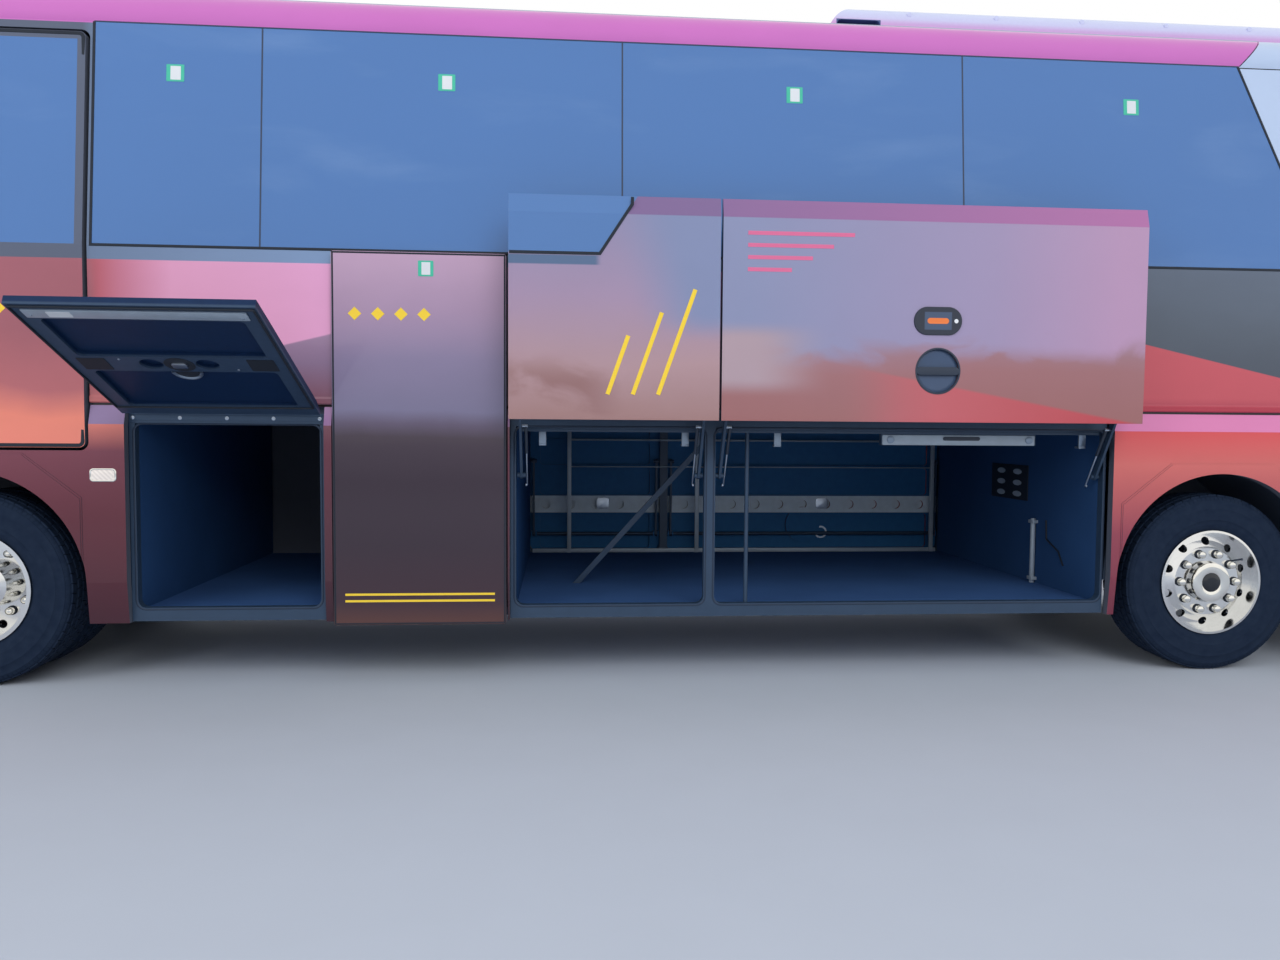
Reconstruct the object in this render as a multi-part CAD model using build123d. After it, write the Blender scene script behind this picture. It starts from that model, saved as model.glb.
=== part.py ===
from build123d import *
import functools
import math
import os

# Coach bus, 13.1 m, two axles. Millimetres, +X forward, +Y left, +Z up, ground at Z 0,
# X 0 at the middle of the body's length, Y 0 at its centre plane.

os.makedirs("parts", exist_ok=True)

# Body heights
SKIRT_Z = 340
TUCK_Z = 560
BELT_Z = 1390
GROOVE_Z = 1495
SILL_Z = 2315
GLASS_TOP_Z = 3480
SHOULDER_Z = 3675
ROOF_Z = 3755

# The groove under the upper body's rounded lower lip
GROOVE_Y = 1232
GROOVE_HALF = 6
LIP_Y = 1256
LIP_H = 48

# Body half widths at those heights
SKIRT_Y = 1250
LOWER_Y = 1275
UPPER_Y = 1250
GLASS_TOP_Y = 1150
SHOULDER_Y = 1010

WALL = 50
GLASS = 10
CAP_FRONT_X = 5560
CAP_REAR_X = -6250

# Wheels and axles
FRONT_AXLE_X = 3700
REAR_AXLE_X = -3160
TYRE_R = 515
WHEEL_Y = 1078
TWIN_GAP = 330
KINGPIN_Y = 978
ARCH_R = 615
ARCH_Z = 535
HOUSING_IN_Y = 560

# Luggage bays and doors on the right side, along X
BAY_REAR = (-2340, -1330)
DOOR_MID = (-1280, -370)
BAY_MID = (-350, 745)
BAY_FRONT = (745, 3045)
DOOR_FRONT = (4420, 5400)
DOOR_HIGH = (-3750, -2535)
DOOR_HIGH_Z = (1268, 3420)
DOOR_MID_TOP = 2305
DOOR_MID_FOOT = 326
DOOR_Y = 1285
DOOR_FRONT_TOP = 3080
DOOR_GAP = 8
FRONT_DOOR_GAP = 14
HIGH_GAP = 16

# Lifting flaps: a flap rises by LIFT and stands OUT of the side when it is open
FLAP_Z = (345, 1483)
FLAP_T = 40
FLAP_GAP = 6
LIFT = 1085
OUT = 270
ARM_FLAP_H = 200
ARM_FLAP_Y = 1205
ARM_BODY_Y = 1180
SMALL_FLAP_OPEN = 112
SMALL_HINGE = (1284, 1489)

# Floors
CABIN_Z = 1500
FLOOR_T = 60
DRIVER_Z = 950
BAY_FLOOR_Z = 400
PILLAR = 60
WINDOW_XS = (-1650, 250, 2155)
PILLAR_TRIM_TOP_X = 3785
PILLAR_TRIM_FOOT_X = 4290


def block(x, y, z):
    """A box from three (low, high) pairs."""
    size = [b - a for a, b in (x, y, z)]
    centre = [(a + b) / 2 for a, b in (x, y, z)]
    return Pos(*centre) * Box(*size)


def along_x(points, x0, x1):
    """A (y, z) outline carried along X."""
    face = make_face(Polyline(*points, close=True))
    return extrude(Plane.YZ.offset(x0) * face, x1 - x0)


def along_y(points, y0, y1):
    """An (x, z) outline carried along Y."""
    face = make_face(Polyline(*points, close=True))
    return extrude(Plane.XZ.offset(-y1) * face, y1 - y0)


def rod_y(x, z, r, y0, y1):
    """A round bar along Y."""
    return extrude(Plane.XZ.offset(-y1) * Pos(x, z) * Circle(r), y1 - y0)


def rod_z(x, y, r, z0, z1):
    """A round bar along Z."""
    return extrude(Plane.XY.offset(z0) * Pos(x, y) * Circle(r), z1 - z0)


def rod(a, b, r):
    """A round bar between two points."""
    a, b = Vector(*a), Vector(*b)
    return extrude(Plane(origin=a, z_dir=b - a) * Circle(r), (b - a).length)


def mirrored(shape):
    """The same piece on the other side of the centre plane."""
    return mirror(shape, about=Plane.XZ)


def rounded_y(x, z, r, y0, y1):
    """A block with rounded corners seen from the side."""
    w, h = x[1] - x[0], z[1] - z[0]
    face = Pos((x[0] + x[1]) / 2, (z[0] + z[1]) / 2) * RectangleRounded(w, h, r)
    return extrude(Plane.XZ.offset(-y1) * face, y1 - y0)


def rounded_x(y, z, r, x0, x1):
    """A block with rounded corners seen from the front."""
    w, h = y[1] - y[0], z[1] - z[0]
    face = Pos((y[0] + y[1]) / 2, (z[0] + z[1]) / 2) * RectangleRounded(w, h, r)
    return extrude(Plane.YZ.offset(x0) * face, x1 - x0)


# Plan outlines of the body by height: height, front end, rear end
PLAN_ROWS = (
    (260, 6440, -6470),
    (850, 6550, -6550),
    (1330, 6525, -6545),
    (2100, 6420, -6505),
    (2800, 6270, -6460),
    (3350, 6070, -6410),
    (3600, 5880, -6330),
    (3780, 5600, -6120),
)
FAR = 7000
FRONT_CORNER = (590, 435)
REAR_CORNER = (230, 210)
FRONT_BOW = 110
REAR_BOW = 40
PLAN_Y = 1285


def plan_face(z, front, rear, inset):
    """The body's outline from above at one height."""
    side = PLAN_Y - inset
    front, rear = front - inset, rear + inset
    fx, fy = front - FRONT_BOW, side - FRONT_CORNER[1]
    rx, ry = rear + REAR_BOW, side - REAR_CORNER[1]
    fs, rs = fx - FRONT_CORNER[0], rx + REAR_CORNER[0]
    edges = [
        Line((rs, side), (fs, side)),
        TangentArc((fs, side), (fx, fy), tangent=(1, 0)),
        ThreePointArc((fx, fy), (front, 0), (fx, -fy)),
        TangentArc((fs, -side), (fx, -fy), tangent=(1, 0)),
        Line((fs, -side), (rs, -side)),
        TangentArc((rs, -side), (rx, -ry), tangent=(-1, 0)),
        ThreePointArc((rx, -ry), (rear, 0), (rx, ry)),
        TangentArc((rs, side), (rx, ry), tangent=(-1, 0)),
    ]
    return Plane.XY.offset(z) * make_face(edges)


@functools.lru_cache
def envelope(inset):
    """The whole body's outer form, pulled in by inset and left open below."""
    outline = [(SKIRT_Y, SKIRT_Z), (LOWER_Y, TUCK_Z), (LOWER_Y, BELT_Z)]
    if inset < WALL:
        outline += [
            (UPPER_Y - 4, GROOVE_Z - GROOVE_HALF),
            (GROOVE_Y, GROOVE_Z - GROOVE_HALF + 2),
            (GROOVE_Y, GROOVE_Z + GROOVE_HALF),
            (LIP_Y - 6, GROOVE_Z + GROOVE_HALF),
            (LIP_Y, GROOVE_Z + 2 * GROOVE_HALF),
            (LIP_Y, GROOVE_Z + LIP_H - 12),
            (UPPER_Y, GROOVE_Z + LIP_H),
        ]
    else:
        outline.append((UPPER_Y, GROOVE_Z))
    outline += [(UPPER_Y, SILL_Z), (GLASS_TOP_Y, GLASS_TOP_Z)]
    right = [(y - inset, z) for y, z in outline]
    if inset:
        right.insert(0, (SKIRT_Y - inset, SKIRT_Z - 90))
    top, shoulder = right[-1], (SHOULDER_Y - inset, SHOULDER_Z - inset)
    cove = (GLASS_TOP_Y - inset - 38, SHOULDER_Z - inset - 45)
    flip = [(-y, z) for y, z in right]
    edges = [
        Polyline(*right),
        ThreePointArc(top, cove, shoulder),
        ThreePointArc(shoulder, (0, ROOF_Z - inset), (-shoulder[0], shoulder[1])),
        ThreePointArc((-shoulder[0], shoulder[1]), (-cove[0], cove[1]), flip[-1]),
        Polyline(*reversed(flip)),
        Line(flip[0], right[0]),
    ]
    section = extrude(Plane.YZ.offset(-FAR) * make_face(edges), 2 * FAR)
    plan = loft([plan_face(z, f, r, inset) for z, f, r in PLAN_ROWS], ruled=True)
    return section & plan


OUTER = envelope(0)
shell = OUTER - envelope(WALL)
glazing = OUTER - envelope(GLASS)

# Regions of the shell: across it, its two sides, below and above it
ACROSS = (-1400, 1400)
RIGHT = (-1400, -1000)
LEFT = (1000, 1400)
LOW = 200
HIGH = 4000
between_caps = (CAP_REAR_X, CAP_FRONT_X)
front_cap = shell & block((CAP_FRONT_X, FAR), ACROSS, (LOW, HIGH))
rear_cap = shell & block((-FAR, CAP_REAR_X), ACROSS, (LOW, HIGH))
roof = shell & block(between_caps, ACROSS, (GLASS_TOP_Z, HIGH))
wall_right = shell & block(between_caps, RIGHT, (LOW, GLASS_TOP_Z))
wall_left = shell & block(between_caps, LEFT, (LOW, GLASS_TOP_Z))


def arch_cut(axle_x, y0, y1):
    """The opening over a wheel."""
    dome = rod_y(axle_x, ARCH_Z, ARCH_R, y0, y1)
    return dome + block((axle_x - ARCH_R, axle_x + ARCH_R), (y0, y1), (LOW, ARCH_Z))


# The raised surround over each wheel: axle, level top's height, and its corners from the axle
ARCH_BROWS = ((FRONT_AXLE_X, 1210), (REAR_AXLE_X, 1238))
BROW_TOP_HALF = 310
BROW_HALF = 600
BROW_DROP = 230
BROW_FOOT_Z = 500
BROW_STEPS = ((0, 3), (8, 6))


def arch_brow(axle_x, top_z, y):
    """A low stepped surround, level over the wheel and slanted at its corners."""
    brow = None
    for inward, out in BROW_STEPS:
        top, side, corner = top_z - inward, BROW_HALF - inward, BROW_TOP_HALF - inward / 2
        outline = [
            (axle_x - side, BROW_FOOT_Z),
            (axle_x - side, top - BROW_DROP),
            (axle_x - corner, top),
            (axle_x + corner, top),
            (axle_x + side, top - BROW_DROP),
            (axle_x + side, BROW_FOOT_Z),
        ]
        layer = envelope(-out) & along_y(outline, *y)
        brow = layer if brow is None else brow + layer
    return brow - envelope(WALL / 2)


def glass_outline(rear_x):
    """The long side window band, ending at the slanted front pillar."""
    return [
        (rear_x, SILL_Z),
        (PILLAR_TRIM_FOOT_X, SILL_Z),
        (PILLAR_TRIM_TOP_X, GLASS_TOP_Z),
        (rear_x, GLASS_TOP_Z),
    ]


# The see-through height of the side windows, inside their bonded edges
PANE_Z = (SILL_Z + 45, GLASS_TOP_Z - 55)


def window_holes(rear_x, y0, y1):
    """The see-through openings between the window pillars."""
    foot, top = PANE_Z
    xs = (rear_x,) + WINDOW_XS
    holes = [
        block((a + PILLAR / 2, b - PILLAR / 2), (y0, y1), (foot, top))
        for a, b in zip(xs[:-1], xs[1:])
    ]
    last = WINDOW_XS[-1] + PILLAR / 2
    holes.append(
        along_y(
            [
                (last, foot),
                (PILLAR_TRIM_FOOT_X - 80, foot),
                (PILLAR_TRIM_TOP_X - 60, top),
                (last, top),
            ],
            y0,
            y1,
        )
    )
    return holes


# Side walls
SIDE_GLASS_REAR_X = DOOR_HIGH[1] + 35
LEFT_GLASS_REAR_X = -6150
HIGH_DOOR_R = 30
glass_right = glazing & along_y(glass_outline(SIDE_GLASS_REAR_X), *RIGHT)
glass_left = glazing & along_y(glass_outline(LEFT_GLASS_REAR_X), *LEFT)
high_cut = rounded_y(
    (DOOR_HIGH[0] - HIGH_GAP, DOOR_HIGH[1] + HIGH_GAP),
    (DOOR_HIGH_Z[0] - HIGH_GAP, DOOR_HIGH_Z[1] + HIGH_GAP),
    HIGH_DOOR_R + HIGH_GAP - 1,
    *RIGHT,
)
rear_quarter = (-6100, DOOR_HIGH[0] - 60)
quarter_glass_right = glazing & block(rear_quarter, RIGHT, (SILL_Z, GLASS_TOP_Z))
door_mid_cut = block(
    (DOOR_MID[0] - DOOR_GAP, DOOR_MID[1] + DOOR_GAP),
    RIGHT,
    (LOW, DOOR_MID_TOP + DOOR_GAP),
)
door_front_cut = block(
    (DOOR_FRONT[0] - FRONT_DOOR_GAP, DOOR_FRONT[1] + FRONT_DOOR_GAP),
    RIGHT,
    (LOW, DOOR_FRONT_TOP + FRONT_DOOR_GAP),
)
bay_cut_z = (LOW, GROOVE_Z - GROOVE_HALF)
for brow_x, brow_z in ARCH_BROWS:
    wall_right = wall_right + arch_brow(brow_x, brow_z, RIGHT)
    wall_left = wall_left + arch_brow(brow_x, brow_z, LEFT)


def bay_cut(x, y):
    """The flap's place in the side wall."""
    return block((x[0] - 2, x[1] + 2), y, bay_cut_z)


wall_right = wall_right - [
    glass_right,
    quarter_glass_right,
    high_cut,
    door_mid_cut,
    door_front_cut,
    bay_cut(BAY_REAR, RIGHT),
    bay_cut((BAY_MID[0], BAY_FRONT[1]), RIGHT),
    arch_cut(FRONT_AXLE_X, *RIGHT),
    arch_cut(REAR_AXLE_X, *RIGHT),
    block((rear_quarter[0] + PILLAR, rear_quarter[1] - PILLAR), RIGHT, PANE_Z),
] - window_holes(SIDE_GLASS_REAR_X + 20, *RIGHT)

DRIVER_WINDOW = ((4640, 5420), (1760, 3080))
DRIVER_RIM = 45
driver_window = glazing & block(DRIVER_WINDOW[0], LEFT, DRIVER_WINDOW[1])
VENT_X = (-5900, -4950)
VENT_Z = (700, 1240)
VENT_SLOT = 26
VENT_PITCH = 54
vent_skin = OUTER - envelope(WALL / 2)


def slots(x, y, z, height, pitch):
    """A field of level slots pressed into the body's skin, one above the other."""
    count = int((z[1] - z[0]) // pitch)
    field = None
    for k in range(count):
        foot = z[0] + k * pitch
        slot = vent_skin & block(x, y, (foot, foot + height))
        field = slot if field is None else field + slot
    return field


wall_right = wall_right - slots(VENT_X, RIGHT, VENT_Z, VENT_SLOT, VENT_PITCH)
wall_left = wall_left - slots(VENT_X, LEFT, VENT_Z, VENT_SLOT, VENT_PITCH)
driver_hole = block(
    (DRIVER_WINDOW[0][0] + DRIVER_RIM, DRIVER_WINDOW[0][1] - DRIVER_RIM),
    LEFT,
    (DRIVER_WINDOW[1][0] + DRIVER_RIM, DRIVER_WINDOW[1][1] - DRIVER_RIM),
)
left_windows = (LEFT_GLASS_REAR_X + 50, -4900, -3250)
wall_left = wall_left - [
    glass_left,
    driver_window,
    driver_hole,
    bay_cut((BAY_MID[0], BAY_FRONT[1]), LEFT),
    arch_cut(FRONT_AXLE_X, *LEFT),
    arch_cut(REAR_AXLE_X, *LEFT),
] - [
    block((a + PILLAR / 2, b - PILLAR / 2), LEFT, PANE_Z)
    for a, b in zip(left_windows[:-1], left_windows[1:])
] - window_holes(left_windows[-1], *LEFT)

# Doors cut from the same shell
FLAT_SIDE = ((1254, SKIRT_Z), (1279, TUCK_Z), (1279, GROOVE_Z), (1264, SILL_Z), (1166, GLASS_TOP_Z))


def flat_door(x, thick):
    """A door's own outer layer: flat past the waist, then leaning in with the glass."""
    outside = [(-y, z) for y, z in FLAT_SIDE]
    inside = [(thick - y, z) for y, z in reversed(FLAT_SIDE)]
    return along_x(outside + inside, *x)


# A door's frame outside its glass, and how far the glass laps over the frame
FRONT_DOOR_RIM = 60
FRONT_DOOR_PANE_FOOT = 760
HIGH_DOOR_RIM = 40
FRONT_DOOR_LAP = 50
HIGH_DOOR_LAP = 60
SILL_LAP = 50


def grown(span, by):
    """A (low, high) pair made wider at both ends."""
    return (span[0] - by, span[1] + by)


door_front = flat_door(DOOR_FRONT, WALL) & block(DOOR_FRONT, RIGHT, (SKIRT_Z + 20, DOOR_FRONT_TOP))
front_pane_x = grown(DOOR_FRONT, -FRONT_DOOR_RIM)
front_pane_z = (FRONT_DOOR_PANE_FOOT, DOOR_FRONT_TOP - FRONT_DOOR_RIM)
door_front_glass = flat_door(DOOR_FRONT, GLASS) & block(front_pane_x, RIGHT, front_pane_z)
door_front = door_front - [
    door_front_glass,
    block(grown(front_pane_x, -FRONT_DOOR_LAP), RIGHT, grown(front_pane_z, -FRONT_DOOR_LAP)),
]
door_mid = rounded_y(DOOR_MID, (DOOR_MID_FOOT, DOOR_MID_TOP), 12, -DOOR_Y, WALL - DOOR_Y)

door_high = flat_door(DOOR_HIGH, WALL) & rounded_y(DOOR_HIGH, DOOR_HIGH_Z, HIGH_DOOR_R, *RIGHT)
high_pane_x = grown(DOOR_HIGH, -HIGH_DOOR_RIM)
high_pane_top = DOOR_HIGH_Z[1] - HIGH_DOOR_RIM
door_high_glass = flat_door(DOOR_HIGH, GLASS) & block(high_pane_x, RIGHT, (SILL_Z, high_pane_top))
door_high = door_high - [
    door_high_glass,
    block(grown(high_pane_x, -HIGH_DOOR_LAP), RIGHT, (SILL_Z + SILL_LAP, high_pane_top - HIGH_DOOR_LAP)),
]

# Front cap, windscreen and lamps
SCREEN_Z = (1420, 3290)
SCREEN_Y = (-1210, 1210)
SCREEN_R = 160
SCREEN_LAP = 70
windscreen = glazing & rounded_x(SCREEN_Y, SCREEN_Z, SCREEN_R, CAP_FRONT_X + 120, FAR)
screen_hole = (grown(SCREEN_Y, -SCREEN_LAP), grown(SCREEN_Z, -SCREEN_LAP))
front_cap = front_cap - [
    windscreen,
    rounded_x(*screen_hole, SCREEN_R - 40, CAP_FRONT_X + 250, FAR),
]

FRONT_FORM_X = 6050


def raised_skin(out, region):
    """A layer of the body's form that stands proud of it inside a region."""
    return (region & envelope(-out)) - envelope(WALL / 2)


# How far the raised forms stand out of the skin
BUMPER_OUT = 20
BEZEL_OUT = 12
LENS_OUT = 18
PLATE_FRONT_OUT = 27
PLATE_REAR_OUT = 12
WIPER_OUT = (16, 34)

BUMPER_TOP_Z = 690
PLATE_Y = (-265, 265)
PLATE_FRONT_Z = (565, 685)
front_forms = (FRONT_FORM_X, FAR)
bumper = raised_skin(BUMPER_OUT, block(front_forms, ACROSS, (SKIRT_Z, BUMPER_TOP_Z)))
plate_front = raised_skin(PLATE_FRONT_OUT, block(front_forms, PLATE_Y, PLATE_FRONT_Z))
front_cap = front_cap + bumper + plate_front
LAMP_Y = (640, 1235)
LAMP_Z = (770, 1000)
LAMP_R = 100
BULB_YS = (818.5, 1044.6)
BULB_Z = 885
BULB_R = 82
for side in (-1, 1):
    bezel_y = sorted((side * LAMP_Y[0], side * LAMP_Y[1]))
    front_cap = front_cap + raised_skin(BEZEL_OUT, rounded_x(bezel_y, LAMP_Z, LAMP_R, *front_forms))
    for bulb_y in BULB_YS:
        bulb = extrude(Plane.YZ.offset(FRONT_FORM_X) * Pos(side * bulb_y, BULB_Z) * Circle(BULB_R), 900)
        front_cap = front_cap + raised_skin(LENS_OUT, bulb)
GRILLE_Y = (-540, 540)
GRILLE_Z = (800, 1170)
GRILLE_SLOT = 34
GRILLE_PITCH = 62
front_cap = front_cap - slots((6300, FAR), GRILLE_Y, GRILLE_Z, GRILLE_SLOT, GRILLE_PITCH)

# Wipers: hub, arm's tip and the blade's two ends
HUB_Y = 200
HUB_Z = 1386
HUB_R = 30
ARM_TIP = (720, 1512)
BLADE_Y = (330, 1010)
BLADE_Z = (1496, 1508)
BLADE_W = 18
wiper_form = envelope(-WIPER_OUT[1]) - envelope(-WIPER_OUT[0])
for side in (-1, 1):
    hub_y = side * HUB_Y
    arm = [
        (hub_y - 16, HUB_Z - 6),
        (hub_y + 16, HUB_Z - 6),
        (side * ARM_TIP[0] + 14, ARM_TIP[1]),
        (side * ARM_TIP[0] - 14, ARM_TIP[1]),
    ]
    blade = [
        (side * BLADE_Y[0], BLADE_Z[0]),
        (side * BLADE_Y[1], BLADE_Z[1]),
        (side * BLADE_Y[1], BLADE_Z[1] + BLADE_W),
        (side * BLADE_Y[0], BLADE_Z[0] + BLADE_W),
    ]
    for outline in (arm, blade):
        face = make_face(Polyline(*outline, close=True))
        front_cap = front_cap + (wiper_form & extrude(Plane.YZ.offset(6000) * face, 800))
    hub = extrude(Plane.YZ.offset(6000) * Pos(hub_y, HUB_Z) * Circle(HUB_R), 800)
    front_cap = front_cap + raised_skin(WIPER_OUT[1], hub)

# Rear cap, rear window and engine lid
ENGINE_LID = ((-980, 980), (560, 1880))
REAR_GLASS = ((-1020, 1020), (2360, 3300))
rear_window = glazing & rounded_x(*REAR_GLASS, 110, -FAR, CAP_REAR_X - 20)
engine_lid = shell & rounded_x(*ENGINE_LID, 60, -FAR, CAP_REAR_X - 60)
REAR_LAP = 60
LID_GAP = 8
rear_hole = (grown(REAR_GLASS[0], -REAR_LAP), grown(REAR_GLASS[1], -REAR_LAP))
lid_hole = (grown(ENGINE_LID[0], LID_GAP), grown(ENGINE_LID[1], LID_GAP))
rear_cap = rear_cap - [
    rear_window,
    rounded_x(*rear_hole, 90, -FAR, CAP_REAR_X - 20),
    rounded_x(*lid_hole, 66, -FAR, CAP_REAR_X - 20),
]
REAR_FORM_X = -6330
REAR_BUMPER_TOP_Z = 545
rear_forms = (-FAR, REAR_FORM_X)
rear_bumper = block(rear_forms, ACROSS, (SKIRT_Z, REAR_BUMPER_TOP_Z))
rear_cap = rear_cap + raised_skin(BUMPER_OUT, rear_bumper)
TAIL_Y = (1015, 1205)
TAIL_Z = (760, 1560)
TAIL_R = 60
TAIL_LAMP_Y = 1100
TAIL_LAMP_ZS = (860, 1040, 1220, 1400)
TAIL_LAMP_R = 66
for side in (-1, 1):
    cluster = rounded_x(sorted((side * TAIL_Y[0], side * TAIL_Y[1])), TAIL_Z, TAIL_R, *rear_forms)
    rear_cap = rear_cap + raised_skin(BEZEL_OUT, cluster)
    for lamp_z in TAIL_LAMP_ZS:
        disc = Plane.YZ.offset(-FAR) * Pos(side * TAIL_LAMP_Y, lamp_z) * Circle(TAIL_LAMP_R)
        rear_cap = rear_cap + raised_skin(LENS_OUT, extrude(disc, FAR + REAR_FORM_X))
PLATE_REAR_Z = (640, 760)
LOUVRE_Y = (-760, 760)
LOUVRE_Z = (1060, 1700)
LOUVRE_SLOT = 26
LOUVRE_PITCH = 64
engine_lid = engine_lid + raised_skin(PLATE_REAR_OUT, block(rear_forms, PLATE_Y, PLATE_REAR_Z))
engine_lid = engine_lid - slots(rear_forms, LOUVRE_Y, LOUVRE_Z, LOUVRE_SLOT, LOUVRE_PITCH)

# Roof pod and hatch
POD_X = (1480, 4880)
POD_Y = 850
POD_FOOT_Z = 3600
POD_EDGE_Z = 3778
POD_TOP_Z = 3905
POD_END_Z = 3745
POD_CLIP_XS = (1960, 2490, 3020, 3550, 4080)
POD_CLIP_Y = (770, 836)
POD_CLIP_R = 13
POD_CLIP_Z = 3832
POD_SCOOP_X = (1525, 1780)
POD_SCOOP_Z = (3726, 3784)
pod_right = [
    Line((0, POD_FOOT_Z), (POD_Y, POD_FOOT_Z)),
    Line((POD_Y, POD_FOOT_Z), (POD_Y - 4, POD_EDGE_Z)),
    ThreePointArc((POD_Y - 4, POD_EDGE_Z), (POD_Y - 34, 3846), (POD_Y - 130, 3878)),
    ThreePointArc((POD_Y - 130, 3878), (POD_Y - 420, 3896), (0, POD_TOP_Z)),
    Line((0, POD_TOP_Z), (0, POD_FOOT_Z)),
]
pod_half = extrude(Plane.YZ.offset(POD_X[0]) * make_face(pod_right), POD_X[1] - POD_X[0])
pod_side = [
    Line((POD_X[0], POD_FOOT_Z), (POD_X[0], POD_END_Z)),
    ThreePointArc((POD_X[0], POD_END_Z), (POD_X[0] + 72, 3836), (POD_X[0] + 250, 3888)),
    ThreePointArc((POD_X[0] + 250, 3888), (2500, POD_TOP_Z), (4250, 3866)),
    ThreePointArc((4250, 3866), (4640, 3824), (POD_X[1], POD_END_Z)),
    Line((POD_X[1], POD_END_Z), (POD_X[1], POD_FOOT_Z)),
    Line((POD_X[1], POD_FOOT_Z), (POD_X[0], POD_FOOT_Z)),
]
pod_profile = extrude(Plane.XZ.offset(-1000) * make_face(pod_side), 2000)
roof_pod = (pod_half + mirrored(pod_half)) & pod_profile
for side in (-1, 1):
    scoop_y = sorted((side * (POD_Y - 60), side * (POD_Y + 50)))
    roof_pod = roof_pod - rounded_y(POD_SCOOP_X, POD_SCOOP_Z, 24, *scoop_y)
    for clip_x in POD_CLIP_XS:
        clip_y = sorted(side * y for y in POD_CLIP_Y)
        roof_pod = roof_pod + rod_y(clip_x, POD_CLIP_Z, POD_CLIP_R, *clip_y)
roof_pod = roof_pod - OUTER
HATCH_X = (-3000, -2200)
HATCH_Y = (-400, 400)
HATCH_FOOT_Z = 3735
HATCH_TOP_Z = 3812
HATCH_GAP = 6
HATCH_T = 40
HATCH_RIM = 20
HATCH_SEAT = 60
roof = roof - block(grown(HATCH_X, -HATCH_SEAT), grown(HATCH_Y, -HATCH_SEAT), (3500, HIGH))
hatch_inside = block(grown(HATCH_X, -HATCH_RIM), grown(HATCH_Y, -HATCH_RIM), (3600, HATCH_TOP_Z - HATCH_T))
roof_hatch = block(HATCH_X, HATCH_Y, (HATCH_FOOT_Z, HATCH_TOP_Z)) - envelope(-HATCH_GAP) - hatch_inside

# Lifting flaps, drawn closed on the right side and then raised


def side_flap(x):
    """A flap with a flat bottom, chamfered top band and hollow pressed inner side."""
    outline = [
        (-(LOWER_Y - 3), FLAP_Z[0]),
        (-LOWER_Y, TUCK_Z),
        (-LOWER_Y, BELT_Z),
        (-(UPPER_Y + 3), FLAP_Z[1]),
        (-(LOWER_Y - FLAP_T), FLAP_Z[1]),
        (-(LOWER_Y - FLAP_T), FLAP_Z[0]),
    ]
    return along_x(outline, x[0] + FLAP_GAP, x[1] - FLAP_GAP)


ARM_PIVOT_Z = FLAP_Z[0] + ARM_FLAP_H
arm_dy, arm_dz = OUT / 2, LIFT / 2
reach = math.hypot(arm_dy, arm_dz)
lean = (ARM_FLAP_Y + arm_dy - ARM_BODY_Y) / (arm_dz / reach)
ARM_BODY_Z = ARM_PIVOT_Z + arm_dz + lean * arm_dy / reach
ARM_L = math.hypot(ARM_BODY_Y - ARM_FLAP_Y, ARM_BODY_Z - ARM_PIVOT_Z)
closed_angle = math.degrees(math.atan2(ARM_PIVOT_Z - ARM_BODY_Z, -(ARM_FLAP_Y - ARM_BODY_Y)))
open_angle = math.degrees(
    math.atan2(ARM_PIVOT_Z + LIFT - ARM_BODY_Z, -(ARM_FLAP_Y + OUT - ARM_BODY_Y))
)
ARM_SWING = (closed_angle - open_angle) % 360
print("arm pivot on body y", -ARM_BODY_Y, "z", round(ARM_BODY_Z, 3))
print("arm pivot on flap closed y", -ARM_FLAP_Y, "z", ARM_PIVOT_Z)
print("arm length", round(ARM_L, 3), "swing", round(ARM_SWING, 3))

ARM_W = 40
ARM_T = 14
PIN_R = 14
PIN_OUT = 16
ARM_IN = 52
EAR_T = 10


def arm_places(x):
    """Where the two arms' plates start along X."""
    return (x[0] + ARM_IN, x[1] - ARM_IN - ARM_T)


def flap_arms(x, open_pose):
    """Two arms joined by a tube along the flap, each on its own pin at the body."""
    foot_y, foot_z = -ARM_FLAP_Y, ARM_PIVOT_Z
    if open_pose:
        foot_y, foot_z = foot_y - OUT, foot_z + LIFT
    length = math.hypot(foot_y + ARM_BODY_Y, foot_z - ARM_BODY_Z)
    turn = math.degrees(math.atan2(foot_z - ARM_BODY_Z, foot_y + ARM_BODY_Y))
    first, last = arm_places(x)
    arms = rod((first - PIN_OUT, foot_y, foot_z), (last + ARM_T + PIN_OUT, foot_y, foot_z), PIN_R)
    for ax in (first, last):
        bar = Plane.YZ.offset(ax) * Pos(-ARM_BODY_Y, ARM_BODY_Z) * Rot(0, 0, turn)
        bar = bar * Pos(length / 2, 0) * SlotOverall(length + ARM_W, ARM_W)
        arms = arms + extrude(bar, ARM_T)
        pin = ((ax - PIN_OUT, -ARM_BODY_Y, ARM_BODY_Z), (ax + ARM_T + PIN_OUT, -ARM_BODY_Y, ARM_BODY_Z))
        arms = arms + rod(*pin, PIN_R)
    return arms


def flap_ears(x):
    """Lugs on the flap's inner side that hold the arms' tube."""
    ears = []
    for ax in arm_places(x):
        for ex in (ax - PIN_OUT, ax + ARM_T + PIN_OUT - EAR_T):
            lug = block(
                (ex, ex + EAR_T),
                (-(LOWER_Y - FLAP_T), -ARM_FLAP_Y + 20),
                (ARM_PIVOT_Z - 22, ARM_PIVOT_Z + 22),
            )
            hole = rod(
                (ex - 1, -ARM_FLAP_Y, ARM_PIVOT_Z),
                (ex + EAR_T + 1, -ARM_FLAP_Y, ARM_PIVOT_Z),
                PIN_R + 1,
            )
            ears.append(lug - hole)
    return ears


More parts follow.
